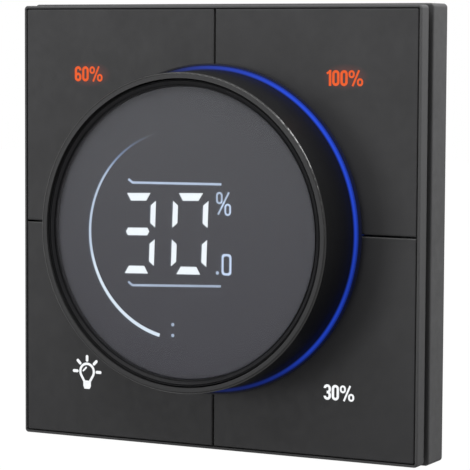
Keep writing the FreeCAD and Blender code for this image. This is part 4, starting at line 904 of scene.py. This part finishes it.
def lay_down(shape):
    """Turns what was built about the depth axis into the fuse's place, along X."""
    quarter_turn = Matrix.Rotation(math.pi / 2, 3, "Z")
    bmesh.ops.rotate(shape, verts=shape.verts, cent=(0, 0, 0), matrix=quarter_turn)
    bmesh.ops.translate(shape, verts=shape.verts, vec=(fuse_x * mm, -fuse_depth * mm, fuse_z * mm))


shape = bmesh.new()
turn_profile(shape, [(0.0, -2.4), (1.98, -2.4), (1.98, 2.4), (0.0, 2.4)], steps=32, closed=False)
lay_down(shape)
hand_over("fuse_ceramic", shape, moulded("ceramic", (0.70, 0.70, 0.66), rough=0.3),
          replaced=["fuse"])
shape = bmesh.new()
for side in (-1, 1):
    half = [(0.0, 4.25), (1.9, 4.25), (2.15, 4.1), (2.2, 3.9), (2.2, 2.3), (2.05, 2.2), (0.0, 2.2)]
    turn_profile(shape, [(r, side * d) for r, d in half], steps=32, closed=False)
lay_down(shape)
for side in (-1, 1):
    bend = [(0.0, fuse_depth), (0.5, fuse_depth), (0.8, fuse_depth + 0.15),
            (lead_reach, fuse_depth + 0.5), (lead_reach, board_rear)]
    wire(shape, lead_radius, [(fuse_x + side * (cap_end + out), d, fuse_z) for out, d in bend])
nickel = moulded("nickel_caps", (0.66, 0.63, 0.56), rough=0.22, metallic=1.0)
hand_over("fuse_caps", shape, nickel)

# %% [markdown]
# ## Chip components
#
# The flat sides of the boards carry the small components. A chip resistor is a ceramic block with two
# tinned ends. Softened boxes come close enough to the real thing, and all of them together are two
# pieces, because nobody takes one off alone.

# %% Chip components
chip_length, chip_width, chip_height, chip_end = 2.0, 1.25, 0.55, 0.4
end_overlap, side_step, top_step, end_soft = 0.05, 0.03, 0.04, 0.08
# x, z and whether the chip is turned along z
power_chips = [(-8, 8.6, 0), (-8, 6.2, 0), (-3.6, 8.2, 1), (-1.2, 8.2, 1), (2.6, 7.4, 0), (2.6, 5, 0),
               (9, 8.5, 1), (-10, -6, 0), (-10, -8.4, 0), (-1.5, -7.4, 1), (1.2, -7.4, 1),
               (10.5, -3.5, 0), (18.6, -3, 1), (-12.5, 1, 1), (-12.5, 5, 1), (19.5, 4.5, 1)]
control_chips = [(-19.5, 7.5, 0), (-16.2, 7.5, 0), (-19.5, -7.5, 0), (-16.2, -7.5, 0), (-14, 11.5, 1),
                 (-13.5, -13, 1), (-12, -18.5, 1), (17, 5.6, 0), (17, 3.4, 0), (17, 1.2, 0),
                 (20, 4.5, 1), (14.5, 12, 1), (11.6, 15, 1), (3.5, -22, 0)]
bodies, ends = bmesh.new(), bmesh.new()
for chips, face in ((power_chips, board_front), (control_chips, control_front)):
    for x, z, turned in chips:
        half = (chip_width / 2, chip_length / 2) if turned else (chip_length / 2, chip_width / 2)
        inner = [reach - (chip_end - end_overlap if axis == turned else side_step)
                 for axis, reach in enumerate(half)]
        block(bodies, (x - inner[0], x + inner[0]), (face, face + chip_height - top_step),
              (z - inner[1], z + inner[1]))
        for side in (-1, 1):
            place = [(x - half[0], x + half[0]), (z - half[1], z + half[1])]
            tip = (x, z)[turned] + side * half[turned]
            place[turned] = tuple(sorted((tip, tip - side * chip_end)))
            block(ends, place[0], (face, face + chip_height), place[1], soft=end_soft, segments=1)
ceramic = moulded("chip_ceramic", (0.06, 0.05, 0.045), rough=0.35, drift=0.3)
hand_over("chip_bodies", bodies, ceramic)
hand_over("chip_ends", ends, tin)

# %% [markdown]
# ## Legs of the control chip
#
# The control chip has thin legs on all four sides, bent like a gull's wing so that their tips lie flat
# on the board. A flat strip would be exact, but a wire with four sides looks the same at this size.

# %% Legs of the control chip
chip_x, chip_half, pitch, legs, leg_radius, leg_top, leg_foot = -17.0, 3.5, 0.8, 8, 0.17, 7.35, 7.03
leg = [(chip_half - 0.1, leg_top), (chip_half + 0.35, leg_top), (chip_half + 0.45, leg_foot),
       (chip_half + 0.95, leg_foot)]
shape = bmesh.new()
for k in range(legs):
    along = (k - (legs - 1) / 2) * pitch
    for side in (-1, 1):
        wire(shape, leg_radius, [(chip_x + side * out, d, along) for out, d in leg], sides=4)
        wire(shape, leg_radius, [(chip_x + along, d, side * out) for out, d in leg], sides=4)
hand_over("control_chip_legs", shape, tin)

# %% [markdown]
# ## Solder joints
#
# The pins of the large components come through the power board and are soldered at its flat side.
# Around a pin, solder sets in a hollow cone. One turned profile serves for all, scaled to the pin.

# %% Solder joints
sink_leg_x, sink_leg_z, leg_pitch, clamp_z = -17.7, 4.0, 2.54, -19.75
lead_x = cap_end + lead_reach
pins = [(12.5, 13), (17.5, 13), (7.5, 1.2), (17.5, 1.2), (fuse_x - lead_x, fuse_z),
        (fuse_x + lead_x, fuse_z), (-7.1, -2.5), (-7.1, 0.6)]
pins += [(x, z) for x in (-5.5, 5.5) for z in (6.5, 9.2, 11.9)]
pins += [(sink_leg_x, sink_leg_z + side * 6.0 + k * leg_pitch) for side in (-1, 1) for k in (-1, 0, 1)]
joints = [(x, z, 0.95, 1.0) for x, z in pins]
joints += [(x, clamp_z, 1.9, 0.7) for x in (-15.3, -5.1, 5.1, 15.3)]
cone = [(1.0, 0.0), (0.74, 0.14), (0.52, 0.4), (0.42, 0.8), (0.36, 1.0), (0.0, 1.0)]
shape = bmesh.new()
for x, z, radius, height in joints:
    turn_profile(shape, [(0.0, board_front)] + [(r * radius, board_front + h * height) for r, h in cone],
                 steps=16, x=x, z=z, closed=False)
hand_over("solder_joints", shape, tin, sharp=60.0)

# %% [markdown]
# ## Light
#
# A soft light from the left throws the knob's shadow on the keys at its right, one from above shades
# the front from top to bottom, and one from the right, just behind the front's plane, picks out the
# frame's side. A picture of a studio would light the part too, but lamps can be moved one at a time.

# %% Lamps
lamp_aim = Vector((0.0, -0.012, 0.0))


def soft_lamp(name, azimuth, elevation, reach, size, power):
    """A square area lamp, reach metres away. Azimuth 0 is straight in front, 90 is at the right."""
    a, e = math.radians(azimuth), math.radians(elevation)
    way = Vector((math.sin(a) * math.cos(e), -math.cos(a) * math.cos(e), math.sin(e)))
    data = bpy.data.lights.new(name, "AREA")
    data.shape = "SQUARE"
    data.size = size
    data.energy = power
    lamp = bpy.data.objects.new(name, data)
    lamp.location = lamp_aim + way * reach
    lamp.rotation_euler = way.to_track_quat("Z", "Y").to_euler()
    bpy.context.scene.collection.objects.link(lamp)
    print(name, power, "W")


soft_lamp("left_softbox", -27, 4, reach=0.90, size=0.30, power=3.0)
soft_lamp("top_softbox", -8, 63, reach=0.25, size=0.24, power=0.74)
soft_lamp("right_softbox", 100, 52, reach=0.28, size=0.16, power=1.3)

# %% [markdown]
# ## Floor and background
#
# The photograph's background is white. If it also lit the part, it would wash out the shades, so it is
# white only to the camera, in reflections and through glass. The floor lies far below the part and is
# pale in the same way.

# %% World and floor
ambient, floor_height, floor_glow, floor_share = 0.17, -0.30, 1.1, 0.9


def seen_directly(tree):
    """1 for rays that show the background to the camera, in gloss or through glass."""
    path = tree.nodes.new("ShaderNodeLightPath").outputs
    seen = calc(tree, "MAXIMUM", path["Is Camera Ray"], path["Is Glossy Ray"])
    return calc(tree, "MAXIMUM", seen, path["Is Transmission Ray"])


def floor_finish():
    """A pale floor that glows to the camera but lights the part only a little."""
    material, tree, shader, place = start_material("pale_floor", rough=0.9)
    tree.links.new(shade(tree, noise(tree, place, 0.4), (0.80, 0.80, 0.80), (0.84, 0.84, 0.84)),
                   shader.inputs["Base Color"])
    glow = tree.nodes.new("ShaderNodeEmission")
    glow.inputs["Strength"].default_value = floor_glow
    share = fade(tree, seen_directly(tree), 0.0, 1.0, 0.0, floor_share)
    show(tree, mix_shaders(tree, share, shader.outputs["BSDF"], glow.outputs["Emission"]))
    return material


world = bpy.data.worlds.new("studio")
world.use_nodes = True
tree = world.node_tree
background = tree.nodes["Background"]
background.inputs["Color"].default_value = (1, 1, 1, 1)
tree.links.new(fade(tree, seen_directly(tree), 0.0, 1.0, ambient, 1.0), background.inputs["Strength"])
bpy.context.scene.world = world

floor_mesh = bpy.data.meshes.new("studio_floor")
shape = bmesh.new()
bmesh.ops.create_grid(shape, x_segments=1, y_segments=1, size=6.0)
bmesh.ops.translate(shape, verts=shape.verts, vec=(0.0, 0.0, floor_height))
shape.to_mesh(floor_mesh)
shape.free()
floor_mesh.materials.append(floor_finish())
floor = bpy.data.objects.new("studio_floor", floor_mesh)
bpy.context.scene.collection.objects.link(floor)
bpy.context.scene.view_settings.view_transform = "Standard"
print("lit the scene")
